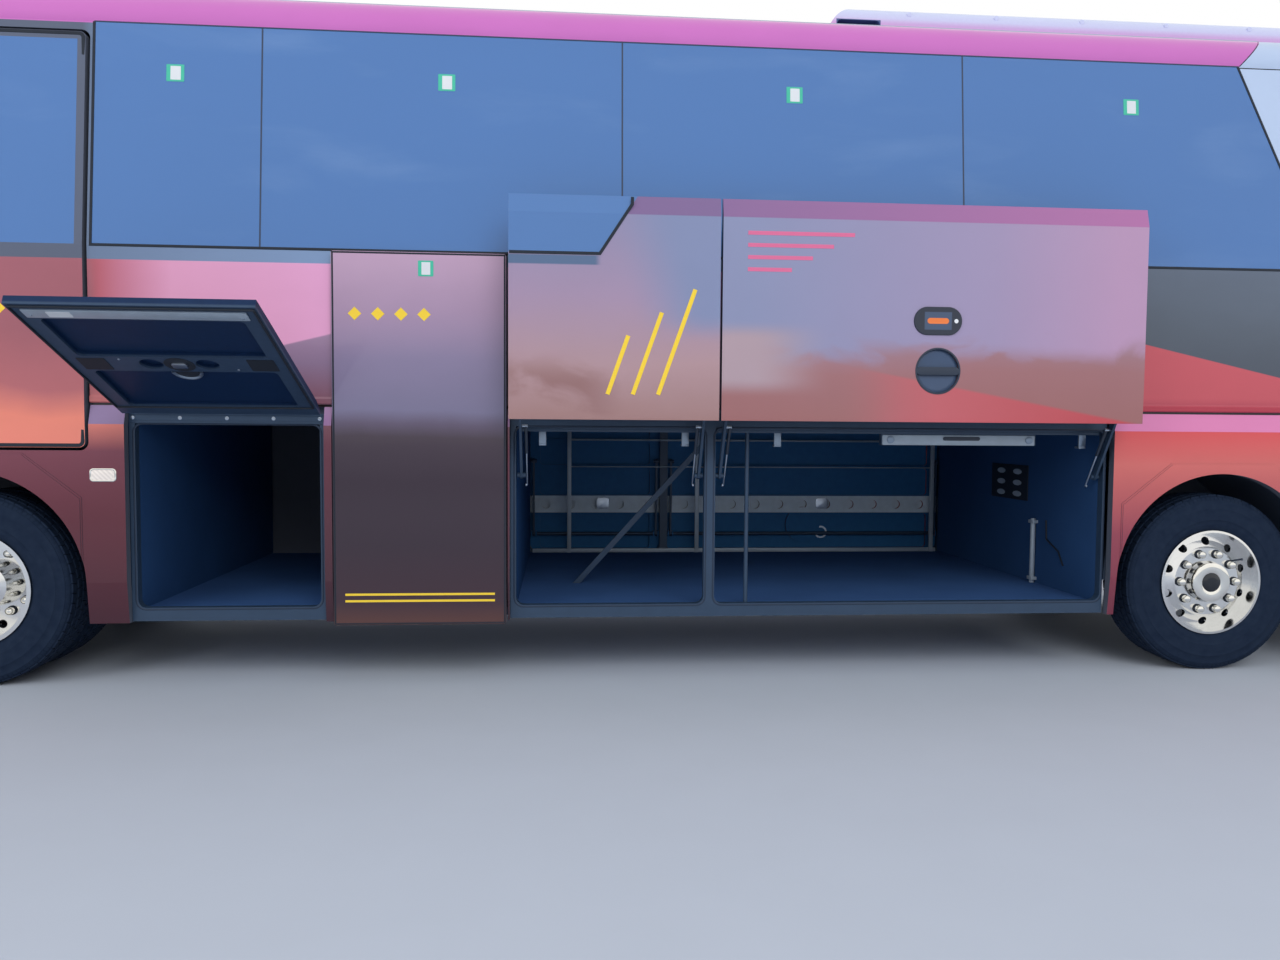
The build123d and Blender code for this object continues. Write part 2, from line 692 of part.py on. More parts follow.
# Hollows pressed into the flaps' inner sides, as rows along Z, and the holes in the beam between
FRAME_W = 108
POCKET_DEEP = 26
POCKET_ROWS = ((425, 705), (855, 1075), (1097, 1280), (1302, 1385))
BEAM_Z = 780
BEAM_HOLE_R = 36
BEAM_HOLE_PITCH = 196
SMALL_FRAME_W = 88
SMALL_ROWS = ((470, 820), (970, 1385))
SMALL_BEAM_Z = 895
SMALL_HOLE_R = 52
SMALL_HOLE_PITCH = 250

# The front flap's round handle and its marker lamp, from outside, and the solid left behind them
HANDLE_AT = (1899, 614)
HANDLE_R = 122
HANDLE_DEEP = 22
MARKER_AT = (1893, 875)
MARKER_SIZE = (255, 144)
MARKER_OUT = 8


def pressed(flap, x, frame_w, rows, beam_z, hole_r, pitch, solid=None):
    """A flap with its pockets and a row of round holes, apart from a solid spot."""
    inner = -(LOWER_Y - FLAP_T)
    deep = (inner - POCKET_DEEP, inner + 1)
    cuts = [rounded_y((x[0] + frame_w, x[1] - frame_w), row, 28, *deep) for row in rows]
    count = int((x[1] - x[0] - 2 * frame_w - hole_r) // pitch) + 1
    first = (x[0] + x[1] - (count - 1) * pitch) / 2
    cuts += [rod_y(first + k * pitch, beam_z, hole_r, *deep) for k in range(count)]
    if solid is not None:
        cuts = [cut - solid for cut in cuts]
    return flap - cuts


def lifting_flap(x):
    """A flap with its pressed inner side and the lugs for its arms."""
    solid = None
    if x == BAY_FRONT:
        solid = rod_y(*HANDLE_AT, HANDLE_R + 20, -1300, -1200)
    flap = pressed(side_flap(x), x, FRAME_W, POCKET_ROWS, BEAM_Z, BEAM_HOLE_R, BEAM_HOLE_PITCH, solid)
    for ear in flap_ears(x):
        flap = flap + ear
    return flap


def handle_and_marker(flap):
    """The recessed round handle with its grip, and the marker lamp's oval bezel."""
    face = -LOWER_Y
    flap = flap - rod_y(*HANDLE_AT, HANDLE_R, face - 1, face + HANDLE_DEEP)
    grip_x = (HANDLE_AT[0] - HANDLE_R + 8, HANDLE_AT[0] + HANDLE_R - 8)
    grip_z = (HANDLE_AT[1] - 21, HANDLE_AT[1] + 21)
    flap = flap + rounded_y(grip_x, grip_z, 20, face + 3, face + HANDLE_DEEP + 2)
    half_w, half_h = MARKER_SIZE[0] / 2, MARKER_SIZE[1] / 2
    marker_x = (MARKER_AT[0] - half_w, MARKER_AT[0] + half_w)
    marker_z = (MARKER_AT[1] - half_h, MARKER_AT[1] + half_h)
    return flap + rounded_y(marker_x, marker_z, 70, face - MARKER_OUT, face + 2)


raised = Pos(0, -OUT, LIFT)
closed_mid = lifting_flap(BAY_MID)
closed_front = handle_and_marker(lifting_flap(BAY_FRONT))
flap_right_1 = raised * closed_mid
flap_right_2 = raised * closed_front
flap_left_1 = mirrored(closed_mid)
flap_left_2 = mirrored(closed_front)
arms_right_1 = flap_arms(BAY_MID, True)
arms_right_2 = flap_arms(BAY_FRONT, True)
arms_left_1 = mirrored(flap_arms(BAY_MID, False))
arms_left_2 = mirrored(flap_arms(BAY_FRONT, False))

hinge_axis = Axis((0, -SMALL_HINGE[0], SMALL_HINGE[1]), (1, 0, 0))
flap_rear = pressed(
    side_flap(BAY_REAR), BAY_REAR, SMALL_FRAME_W, SMALL_ROWS, SMALL_BEAM_Z, SMALL_HOLE_R, SMALL_HOLE_PITCH
)
flap_rear = flap_rear.rotate(hinge_axis, -SMALL_FLAP_OPEN)

# Floors, bulkheads and housings
inner_y = UPPER_Y - WALL
door_well = (DOOR_MID[0] - 20, DOOR_MID[1] + 20)
MID_WELL_Y = -560
FRONT_WELL_Y = -530
FRONT_WELL = (DOOR_FRONT[0] - 20, DOOR_FRONT[1] + 60)
CABIN_X = (-6230, 4330)
DRIVER_X = (4270, 6150)
SILL_STEP_Z = 400


def steps(x, z_top, y_in, count):
    """A folded stair from the door's sill up and inwards."""
    rise = (z_top - SILL_STEP_Z) / (count + 1)
    run = (inner_y + y_in) / count
    tread = 30
    under = 40
    outline = [(-inner_y, SILL_STEP_Z - under)]
    for i in range(count):
        outline.append((-inner_y + run * i, SILL_STEP_Z + rise * i))
        outline.append((-inner_y + run * (i + 1), SILL_STEP_Z + rise * i))
    outline.append((y_in, z_top))
    outline.append((y_in + tread, z_top))
    outline.append((y_in + tread, SILL_STEP_Z + rise * (count - 1) - under))
    for i in reversed(range(1, count)):
        outline.append((-inner_y + run * i + tread, SILL_STEP_Z + rise * i - under))
        outline.append((-inner_y + run * i + tread, SILL_STEP_Z + rise * (i - 1) - under))
    return along_x(outline, *x)


cabin_floor = block(CABIN_X, (-inner_y, inner_y), (CABIN_Z - FLOOR_T, CABIN_Z))
cabin_floor = cabin_floor - block(door_well, (RIGHT[0], MID_WELL_Y), (1300, 1600))
riser = block((DRIVER_X[0], CABIN_X[1]), (-inner_y, inner_y), (DRIVER_Z, CABIN_Z))
driver_deck = block(DRIVER_X, (-inner_y, inner_y), (DRIVER_Z - FLOOR_T, DRIVER_Z)) & envelope(WALL)
driver_deck = driver_deck - block(FRONT_WELL, (RIGHT[0], FRONT_WELL_Y), (600, DRIVER_Z + 1))
cabin_floor = cabin_floor + riser + driver_deck
cabin_floor = cabin_floor + steps(door_well, CABIN_Z - FLOOR_T, MID_WELL_Y, 4)
cabin_floor = cabin_floor + steps(FRONT_WELL, DRIVER_Z - FLOOR_T, FRONT_WELL_Y, 2)

# The bays' floor, end walls and the frames round their mouths
MOUTH_Y = LOWER_Y - FLAP_T - 13
MOUTH_T = 50
FLOOR_Y = MOUTH_Y - MOUTH_T
POST_HALF = 30
BAY_END_X = BAY_FRONT[1] - 15
HEADER_Z = 1395
SILL_LIP_Z = 416
MOUTH_CORNER_R = 45
CEILING_Z = CABIN_Z - FLOOR_T
bay_z = (BAY_FLOOR_Z, CEILING_Z)
bay_floor = block((BAY_REAR[0] - 40, BAY_END_X), (-FLOOR_Y, FLOOR_Y), (SKIRT_Z, BAY_FLOOR_Z))
bay_floor = bay_floor - block(door_well, (RIGHT[0], MID_WELL_Y + 30), (LOW, 500))
bay_walls = (
    (BAY_REAR[0] - 40, BAY_REAR[0] + POST_HALF),
    (BAY_REAR[1] - POST_HALF, door_well[0]),
    (door_well[1], BAY_MID[0] + POST_HALF),
    (BAY_FRONT[1] - POST_HALF, BAY_END_X),
)
for wall_x in bay_walls:
    bay_floor = bay_floor + block(wall_x, (-FLOOR_Y, FLOOR_Y), bay_z)


def mouth_frame(x, openings):
    """A flat frame on the right side with one mouth for each opening, rounded at the foot."""
    frame = block(x, (-MOUTH_Y, -FLOOR_Y), (SKIRT_Z + 5, CEILING_Z))
    for mouth in openings:
        deep = (-MOUTH_Y - 1, -FLOOR_Y + 1)
        frame = frame - rounded_y(mouth, (SILL_LIP_Z, HEADER_Z), MOUTH_CORNER_R, *deep)
        frame = frame - block(mouth, deep, (900, HEADER_Z))
    return frame


main_mouths = (
    (BAY_MID[0] + POST_HALF, BAY_MID[1] - POST_HALF),
    (BAY_FRONT[0] + POST_HALF, BAY_FRONT[1] - POST_HALF),
)
frame_small = mouth_frame(BAY_REAR, [(BAY_REAR[0] + POST_HALF, BAY_REAR[1] - POST_HALF)])
frame_right = mouth_frame((BAY_MID[0], BAY_END_X), main_mouths)
frame_left = mirrored(frame_right)

# The right bay's loading lamp and its prop tube, and the brace from floor to ceiling
BAY_LAMP_X = (1727, 2631)
BAY_LAMP_Z = (1302, 1425)
PROP_X = 962
PROP_R = 12
BRACE_Y = -380
BRACE_FOOT_X = 0
BRACE_HEAD_X = 945
BRACE_W = 46
BRACE_T = 12
frame_right = frame_right + block(BAY_LAMP_X, (-FLOOR_Y - 3, -FLOOR_Y + 37), BAY_LAMP_Z)
frame_right = frame_right + rod_z(PROP_X, -FLOOR_Y + 7, PROP_R, BAY_FLOOR_Z + 1, CEILING_Z)
bay_brace = along_y(
    [
        (BRACE_FOOT_X, BAY_FLOOR_Z),
        (BRACE_FOOT_X + BRACE_W, BAY_FLOOR_Z),
        (BRACE_HEAD_X + BRACE_W, CEILING_Z),
        (BRACE_HEAD_X, CEILING_Z),
    ],
    BRACE_Y - BRACE_T / 2,
    BRACE_Y + BRACE_T / 2,
)

RAIL_Z = (760, 890)
RAIL_W = 60
CROSS_Z = (790, 860)
CROSS_W = 70


def subframe(x0, x1, rail_y, cross_xs):
    """Two rails along the coach with cross tubes."""
    frame = None
    for side in (-1, 1):
        y = sorted((side * rail_y, side * (rail_y + RAIL_W)))
        rail = block((x0, x1), y, RAIL_Z)
        frame = rail if frame is None else frame + rail
    for x in cross_xs:
        frame = frame + block((x - CROSS_W / 2, x + CROSS_W / 2), (-rail_y - 10, rail_y + 10), CROSS_Z)
    return frame


TOW_R = 16
TOW_Z = (430, 520)
TOW_GAP_Z = (455, 495)
TOW_HALF = 45
TOW_TIP = 35
TOW_FRONT_X = 6250
TOW_FRONT_TIP = 6500
TOW_REAR_X = -6300
TOW_REAR_TIP = -6520
TOW_MOUTH = 110
TOW_POST_Y = (-60, 60)
TOW_POST_Z = (TOW_Z[0], CROSS_Z[1])
FRONT_RAIL_Y = 420
REAR_RAIL_Y = 450
FRONT_CROSS_XS = (3150, 4500, 5500, 6200)
REAR_CROSS_XS = (-2500, -4200, -6260)


def tow_jaw(root_x, tip_x):
    """A two-eared towing jaw with an upright pin hole."""
    way = 1 if tip_x > root_x else -1
    jaw = block(sorted((root_x, tip_x)), (-TOW_HALF, TOW_HALF), TOW_Z)
    mouth = sorted((tip_x - way * TOW_MOUTH, tip_x + way))
    jaw = jaw - block(mouth, TOW_POST_Y, TOW_GAP_Z)
    return jaw - rod_z(tip_x - way * TOW_TIP, 0, TOW_R, 400, 550)


front_rails = subframe(BAY_END_X, TOW_FRONT_X, FRONT_RAIL_Y, FRONT_CROSS_XS)
front_rails = front_rails + block((TOW_FRONT_X - 70, TOW_FRONT_X), TOW_POST_Y, TOW_POST_Z)
rear_rails = subframe(TOW_REAR_X, BAY_REAR[0] - 40, REAR_RAIL_Y, REAR_CROSS_XS)
rear_rails = rear_rails + block((TOW_REAR_X, TOW_REAR_X + 70), TOW_POST_Y, TOW_POST_Z)
front_rails = front_rails + tow_jaw(TOW_FRONT_X, TOW_FRONT_TIP)
rear_rails = rear_rails + tow_jaw(TOW_REAR_X, TOW_REAR_TIP)
tow_notch = ((-90, 90), (300, 560))
front_cap = front_cap - block((6300, FAR), *tow_notch)
rear_cap = rear_cap - block((-FAR, -6350), *tow_notch)


HOUSING_R = 640
HOUSING_T = 25


def wheel_housing(axle_x):
    """A half-round shell over a wheel with its inner side wall, on the right side."""
    outer = rod_y(axle_x, ARCH_Z, HOUSING_R + HOUSING_T, -(LOWER_Y - WALL - 5), -HOUSING_IN_Y + 20)
    outer = outer & block((axle_x - 800, axle_x + 800), (RIGHT[0], 0), (ARCH_Z, 1400))
    hollow = rod_y(axle_x, ARCH_Z, HOUSING_R, RIGHT[0], -HOUSING_IN_Y)
    axle_slot = block((axle_x - 120, axle_x + 120), (-HOUSING_IN_Y - 5, -500), (ARCH_Z - 5, 720))
    return outer - hollow - axle_slot


def housing_pair(axle_x):
    """Both housings of an axle with the bar that joins their tops."""
    housing = wheel_housing(axle_x)
    bar_z = (ARCH_Z + HOUSING_R - 5, ARCH_Z + HOUSING_R + HOUSING_T)
    bar = block((axle_x - 60, axle_x + 60), (-HOUSING_IN_Y, HOUSING_IN_Y), bar_z)
    return housing + mirrored(housing) + bar


housing_front = housing_pair(FRONT_AXLE_X)
housing_rear = housing_pair(REAR_AXLE_X)

# Running gear
WHEEL_Z = TYRE_R
engine_block = block((-6100, -4600), (-450, 450), (520, 1380))

SPRING_FRONT_R = 85
SPRING_REAR_R = 95
beam_z = (WHEEL_Z - 32, WHEEL_Z + 32)
front_axle = block((FRONT_AXLE_X - 55, FRONT_AXLE_X + 55), (-920, 920), beam_z)
for side in (-1, 1):
    eye_y = side * KINGPIN_Y
    front_axle = front_axle + rod_z(FRONT_AXLE_X, eye_y, 62, WHEEL_Z - 32, WHEEL_Z + 32)
    front_axle = front_axle + rod_z(FRONT_AXLE_X, side * 450, SPRING_FRONT_R, WHEEL_Z, RAIL_Z[0])
for side in (-1, 1):
    front_axle = front_axle - rod_z(FRONT_AXLE_X, side * KINGPIN_Y, 32, 300, 800)

rear_axle = rod_y(REAR_AXLE_X, WHEEL_Z, 85, -860, 860)
rear_axle = rear_axle + rod_y(REAR_AXLE_X, WHEEL_Z, 215, -150, 150)
for side in (-1, 1):
    y = sorted((side * 390, side * 470))
    rear_axle = rear_axle + block((REAR_AXLE_X - 480, REAR_AXLE_X + 480), y, (WHEEL_Z - 60, WHEEL_Z + 40))
    for dx in (-400, 400):
        rear_axle = rear_axle + rod_z(REAR_AXLE_X + dx, side * 430, SPRING_REAR_R, WHEEL_Z, RAIL_Z[0])


def knuckle(side):
    """A yoke round the axle's eye with the wheel's stub axle."""
    y = side * KINGPIN_Y
    yoke = rod_z(FRONT_AXLE_X, y, 30, WHEEL_Z - 90, WHEEL_Z + 90)
    for z in (WHEEL_Z - 90, WHEEL_Z + 42):
        yoke = yoke + rod_z(FRONT_AXLE_X, y, 58, z, z + 48)
        web = sorted((y, side * (KINGPIN_Y + 84)))
        yoke = yoke + block((FRONT_AXLE_X - 40, FRONT_AXLE_X + 40), web, (z, z + 48))
    plate = sorted((side * (KINGPIN_Y + 68), side * (KINGPIN_Y + 84)))
    yoke = yoke + rod_y(FRONT_AXLE_X, WHEEL_Z, 100, *plate)
    stub = sorted((side * (KINGPIN_Y + 80), side * (KINGPIN_Y + 150)))
    return yoke + rod_y(FRONT_AXLE_X, WHEEL_Z, 40, *stub)


# Wheels: profiles as (distance outboard of the tyre's centre plane, radius)
BEAD_R = 293
TYRE_PROFILE = (
    (-112, BEAD_R),
    (-140, 340),
    (-147, 405),
    (-138, 462),
    (-118, 500),
    (-95, 512),
    (-60, TYRE_R),
    (60, TYRE_R),
    (95, 512),
    (118, 500),
    (138, 462),
    (147, 405),
    (140, 340),
    (112, BEAD_R),
)
FRONT_RIM_PROFILE = (
    (-135, 281),
    (-135, 303),
    (-119, 303),
    (-112, BEAD_R),
    (112, BEAD_R),
    (119, 303),
    (135, 303),
    (137, 290),
    (60, 276),
    (66, 240),
    (84, 205),
    (92, 195),
    (92, 122),
    (118, 112),
    (126, 50),
    (134, 46),
    (134, 0),
    (76, 0),
    (76, 44),
    (-10, 44),
    (-10, 120),
    (55, 120),
    (50, 240),
    (40, 281),
)
NUT_PCD = 335
NUT_R = 20
HAND_HOLE_R = 24
HAND_HOLE_AT = 236
RIM_FACE = 92
FRONT_NUT = 32
REAR_NUT = 34


def ring(profile, axle_x, centre_y, side):
    """A turned body about the wheel's axle, from (outboard, radius) points."""
    face = make_face(Polyline(*[(r, side * v) for v, r in profile], close=True))
    turned = revolve(face, Axis.Y, 360)
    return Pos(axle_x, centre_y, WHEEL_Z) * turned


def nuts_and_holes(rim, axle_x, face_y, side, height, hole_depth):
    """Ten nuts round the hub and ten hand holes through the disc."""
    for k in range(10):
        a = math.radians(36 * k)
        x = axle_x + NUT_PCD / 2 * math.cos(a)
        z = WHEEL_Z + NUT_PCD / 2 * math.sin(a)
        rim = rim + rod_y(x, z, NUT_R, *sorted((face_y - side * 5, face_y + side * height)))
    for k in range(10):
        a = math.radians(36 * k + 18)
        x = axle_x + HAND_HOLE_AT * math.cos(a)
        z = WHEEL_Z + HAND_HOLE_AT * math.sin(a)
        rim = rim - rod_y(x, z, HAND_HOLE_R, *sorted(hole_depth))
    return rim


def front_rim(side):
    centre = side * WHEEL_Y
    rim = ring(FRONT_RIM_PROFILE, FRONT_AXLE_X, centre, side)
    hole_depth = (centre + side * 20, centre + side * 150)
    return nuts_and_holes(rim, FRONT_AXLE_X, centre + side * RIM_FACE, side, FRONT_NUT, hole_depth)


def rear_rims(side):
    """Both rims of a twin wheel with the hub that carries them."""
    outer_y, inner_y_rim = side * WHEEL_Y, side * (WHEEL_Y - TWIN_GAP)
    barrel = (
        (-135, 281),
        (-135, 303),
        (-119, 303),
        (-112, BEAD_R),
        (112, BEAD_R),
        (119, 303),
        (135, 303),
        (135, 281),
    )
    middle = TWIN_GAP / 2
    hub = (
        (-middle - 20, 283),
        (-middle + 14, 283),
        (-middle + 14, 128),
        (20, 118),
        (34, 60),
        (34, 0),
        (-60, 0),
        (-60, 92),
        (-middle - 20, 92),
    )
    rims = ring(barrel, REAR_AXLE_X, outer_y, side) + ring(barrel, REAR_AXLE_X, inner_y_rim, side)
    bridge = (
        (-middle - 40, 279),
        (-middle - 40, 289),
        (-middle + 40, 289),
        (-middle + 40, 279),
    )
    rims = rims + ring(bridge, REAR_AXLE_X, outer_y, side)
    rims = rims + ring(hub, REAR_AXLE_X, outer_y, side)
    face = outer_y - side * (middle - 14)
    return nuts_and_holes(rims, REAR_AXLE_X, face, side, REAR_NUT, (face - side * 60, face + side * 10))


tyre_front_right = ring(TYRE_PROFILE, FRONT_AXLE_X, -WHEEL_Y, -1)
tyre_rear_right_outer = ring(TYRE_PROFILE, REAR_AXLE_X, -WHEEL_Y, -1)
tyre_rear_right_inner = ring(TYRE_PROFILE, REAR_AXLE_X, -(WHEEL_Y - TWIN_GAP), -1)

# Cabin fittings
SEAT_PITCH = 780
SEAT_ROWS = 12
SEAT_REAR_X = -5700
SEAT_W = 430
SEAT_IN_Y = 280
SEAT_PAN_Z = (CABIN_Z + 320, CABIN_Z + 450)
SEAT_DEEP = 450
SEAT_RAIL_YS = (330, 1080)
SEAT_LEG_Y = (320, 1130)


def seat_bank(side, skip):
    """Rows of double seats standing on two rails."""
    bank = None
    for rail_y in SEAT_RAIL_YS:
        y = sorted((side * rail_y, side * (rail_y + 40)))
        rail = block((SEAT_REAR_X - 200, SEAT_REAR_X + SEAT_PITCH * SEAT_ROWS), y, (CABIN_Z, CABIN_Z + 25))
        bank = rail if bank is None else bank + rail
    for row in range(SEAT_ROWS):
        if row in skip:
            continue
        x = SEAT_REAR_X + SEAT_PITCH * row
        y = sorted((side * SEAT_IN_Y, side * (SEAT_IN_Y + 2 * SEAT_W)))
        legs = sorted((side * SEAT_LEG_Y[0], side * SEAT_LEG_Y[1]))
        bank = bank + block((x + 120, x + 240), legs, (CABIN_Z + 10, CABIN_Z + 340))
        bank = bank + block((x, x + SEAT_DEEP), y, SEAT_PAN_Z)
        back = [
            (x - 10, CABIN_Z + 400),
            (x + 90, CABIN_Z + 400),
            (x - 48, CABIN_Z + 1060),
            (x - 78, CABIN_Z + 1120),
            (x - 122, CABIN_Z + 1120),
            (x - 140, CABIN_Z + 1080),
        ]
        bank = bank + along_y(back, *y)
    return bank


stair_head = block(door_well, (RIGHT[0], MID_WELL_Y), (CABIN_Z - 1, CABIN_Z + 60))
seats_left = seat_bank(1, ())
seats_right = seat_bank(-1, (5, 6)) - stair_head
DRIVER_SEAT_Y = (420, 900)
driver_pan = block((4600, 5060), DRIVER_SEAT_Y, (DRIVER_Z + 380, DRIVER_Z + 500))
driver_back = block((4500, 4620), DRIVER_SEAT_Y, (DRIVER_Z + 380, DRIVER_Z + 1180))
driver_post = block((4700, 4950), (540, 780), (DRIVER_Z, DRIVER_Z + 400))
driver_seat = driver_pan + driver_back + driver_post
DASH_TOP_Z = 1370
DASH_X = (5500, 6150)
DASH_Y = (-450, 1100)
dashboard = along_y(
    [
        (DASH_X[0], 1250),
        (DASH_X[0] + 60, DASH_TOP_Z - 40),
        (DASH_X[0] + 400, DASH_TOP_Z),
        (DASH_X[1], DASH_TOP_Z),
        (DASH_X[1], DRIVER_Z),
        (DASH_X[0] + 150, DRIVER_Z),
        (DASH_X[0] + 150, 1180),
    ],
    *DASH_Y,
)
dashboard = dashboard & envelope(WALL + 30)
STEER_AT = Vector(5420, 660, 1560)
STEER_TILT = Vector(-0.61, 0, 0.79)
STEER_R = 225
column = rod(STEER_AT - STEER_TILT * 340, STEER_AT - STEER_TILT * 34, 30)
dashboard = dashboard + column
wheel_plane = Plane(origin=STEER_AT, z_dir=STEER_TILT)
steering_wheel = wheel_plane * Torus(STEER_R, 16)
steering_wheel = steering_wheel + wheel_plane * Box(2 * STEER_R - 10, 36, 20)
steering_wheel = steering_wheel + wheel_plane * Pos(0, 0, -10) * Cylinder(55, 40)

# Outside fittings
MIRROR_ROOT = (5900, 1120, 3330)
MIRROR_ELBOW = (6560, 1330, 3250)
MIRROR_HEAD = ((6560, 6700), (1220, 1430), (2560, 3060))
MIRROR_EDGE_R = 30


def mirror_arm(side):
    """A curved arm from the roof's front corner with a hanging glass housing."""
    root = (MIRROR_ROOT[0], side * MIRROR_ROOT[1], MIRROR_ROOT[2])
    elbow = (MIRROR_ELBOW[0], side * MIRROR_ELBOW[1], MIRROR_ELBOW[2])
    foot = (MIRROR_ELBOW[0] + 70, side * MIRROR_ELBOW[1], MIRROR_ELBOW[2] - 230)
    arm = rod(root, elbow, 32) + rod(elbow, foot, 30)
    arm = arm + Pos(*elbow) * Sphere(34)
    head_x, head_y, head_z = MIRROR_HEAD
    head = block(head_x, sorted((side * head_y[0], side * head_y[1])), head_z)
    return arm + fillet(head.edges(), MIRROR_EDGE_R)


def outer_piece(shape):
    """What is left of a fitting outside the body."""
    return max((shape - OUTER).solids(), key=lambda piece: piece.volume)


mirror_right = outer_piece(mirror_arm(-1))
mirror_left = outer_piece(mirror_arm(1))

parts = {
    "side_wall_right": wall_right,
    "side_wall_left": wall_left,
    "roof_shell": roof,
    "front_cap": front_cap,
    "rear_cap": rear_cap,
    "windscreen": windscreen,
    "rear_window": rear_window,
    "side_glass_right": glass_right,
    "quarter_glass_right": quarter_glass_right,
    "side_glass_left": glass_left,
    "driver_window": driver_window,
    "roof_pod": roof_pod,
    "roof_hatch": roof_hatch,
    "cabin_floor": cabin_floor,
    "bay_floor": bay_floor,
    "bay_frame_right": frame_right,
    "bay_frame_left": frame_left,
    "bay_frame_small": frame_small,
    "bay_brace": bay_brace,
    "front_rails": front_rails,
    "rear_rails": rear_rails,
    "wheel_housing_front": housing_front,
    "wheel_housing_rear": housing_rear,
    "engine_block": engine_block,
    "front_axle": front_axle,
    "rear_axle": rear_axle,
    "knuckle_right": knuckle(-1),
    "knuckle_left": knuckle(1),
    "tyre_front_right": tyre_front_right,
    "tyre_front_left": mirrored(tyre_front_right),
    "rim_front_right": front_rim(-1),
    "rim_front_left": front_rim(1),
    "tyre_rear_right_outer": tyre_rear_right_outer,
    "tyre_rear_right_inner": tyre_rear_right_inner,
    "rims_rear_right": rear_rims(-1),
    "tyre_rear_left_outer": mirrored(tyre_rear_right_outer),
    "tyre_rear_left_inner": mirrored(tyre_rear_right_inner),
    "rims_rear_left": rear_rims(1),
    "door_front": door_front,
    "door_front_glass": door_front_glass,
    "door_mid": door_mid,
    "door_high": door_high,
    "door_high_glass": door_high_glass,
    "flap_rear_right": flap_rear,
    "flap_right_1": flap_right_1,
    "flap_right_2": flap_right_2,
    "arms_right_1": arms_right_1,
    "arms_right_2": arms_right_2,
    "flap_left_1": flap_left_1,
    "flap_left_2": flap_left_2,
    "arms_left_1": arms_left_1,
    "arms_left_2": arms_left_2,
    "engine_lid": engine_lid,
    "mirror_right": mirror_right,
    "mirror_left": mirror_left,
    "seats_right": seats_right,
    "seats_left": seats_left,
    "driver_seat": driver_seat,
    "dashboard": dashboard,
    "steering_wheel": steering_wheel,
}
for node, shape in parts.items():
    export_step(shape, f"parts/{node}.step")
    solids = shape.solids()
    print(node, len(solids), round(sum(s.volume for s in solids) / 1e9, 4))
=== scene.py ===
import math

import bmesh
import bpy
from mathutils import Matrix, Vector
from mathutils.bvhtree import BVHTree


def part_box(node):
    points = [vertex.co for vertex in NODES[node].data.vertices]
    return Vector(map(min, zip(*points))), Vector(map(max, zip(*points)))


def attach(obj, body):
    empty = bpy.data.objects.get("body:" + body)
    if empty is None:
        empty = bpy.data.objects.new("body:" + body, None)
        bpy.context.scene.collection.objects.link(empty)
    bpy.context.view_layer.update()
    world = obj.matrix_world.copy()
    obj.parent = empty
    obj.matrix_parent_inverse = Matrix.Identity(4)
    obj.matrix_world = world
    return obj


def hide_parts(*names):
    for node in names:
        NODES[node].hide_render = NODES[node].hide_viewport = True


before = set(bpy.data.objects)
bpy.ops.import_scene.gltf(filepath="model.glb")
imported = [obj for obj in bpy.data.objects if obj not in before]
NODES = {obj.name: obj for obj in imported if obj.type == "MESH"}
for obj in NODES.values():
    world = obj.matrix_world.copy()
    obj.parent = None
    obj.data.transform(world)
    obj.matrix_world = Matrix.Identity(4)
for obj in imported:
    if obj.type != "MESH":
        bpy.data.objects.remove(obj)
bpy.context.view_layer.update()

bl_info = {
    "name": "Coach Bus Dressing",
    "version": (1, 0, 0),
    "blender": (4, 5, 0),
    "location": "View3D > Sidebar > Coach",
    "description": "Paint, glass, trim, wheels, bays and seats for a packed coach model",
    "category": "Object",
}

SIDES = (("right", -1), ("left", 1))
RIGHTWARD = (0, -1, 0)
LEFTWARD = (0, 1, 0)

# The camera of the photo: yaw, pitch and roll in degrees, place in metres, lens in millimetres
CAMERA_TURN = (4.7, -3.0, 0.40)
CAMERA_PLACE = (-0.075, -6.475, 1.38)
CAMERA_LENS = 27.0

# Places in metres: +X forward, +Y left, +Z up, ground at Z 0
WHEEL_R = 0.515
FRONT_AXLE_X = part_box("tyre_front_right")[0].x + WHEEL_R
REAR_AXLE_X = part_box("tyre_rear_right_outer")[0].x + WHEEL_R
WHEEL_Z = 0.515
WHEEL_Y = 1.078
TWIN_GAP = 0.330
BELT_Z = 1.390
GROOVE_Z = 1.495
SILL_Z = 2.315
GLASS_TOP_Z = 3.480
BAY_FLOOR_Z = 0.400
HEADER_Z = 1.395
CABIN_Z = 1.500
DRIVER_Z = 0.950
MOUTH_Y = 1.222
MOUTHS = ((-0.320, 0.715), (0.775, 3.015))
SMALL_MOUTH = (-2.310, -1.360)
SILL_LIP_Z = 0.416
BULKHEAD_X = 3.015
RAISED_Y = 1.545
FLAP_INNER_Y = 1.235
MID_DOOR_Y = 1.285
SMALL_HINGE = Vector((0.0, -1.284, 1.489))
SMALL_OPEN = math.radians(112.0)
SMALL_TURN = Matrix.Rotation(-SMALL_OPEN, 3, "X")
MOULDING_Z = 3.672
PILLAR_FOOT_X = 4.287
PILLAR_TOP_X = 3.785
QUARTER_XS = (-6.150, -3.790)
WINDOW_XS = (-1.650, 0.250, 2.155)
WINDOW_REAR_X = -2.500
LEFT_WINDOW_XS = (-4.900, -3.250, -1.650, 0.250, 2.155)
LEFT_WINDOW_REAR_X = -6.150
NUTS = 10
NUT_CIRCLE_R = 0.1675

# The arched mouth over the small flap's latch, as (x, z) with the flap closed
LATCH_ARCH = [
    (-1.835 + 0.064 * math.cos(math.pi * k / 12), 0.984 + 0.070 * math.sin(math.pi * k / 12))
    for k in range(13)
]

# Seats: rear edge of the first pan, pitch and pan places across the coach
SEAT_REAR_X = -5.700
SEAT_PITCH = 0.780
SEAT_ROWS = 12
SEAT_YS = (0.495, 0.925)
SEAT_RAIL_YS = (0.350, 1.100)
PAN_Z = 1.824
DRIVER_Y = 0.660

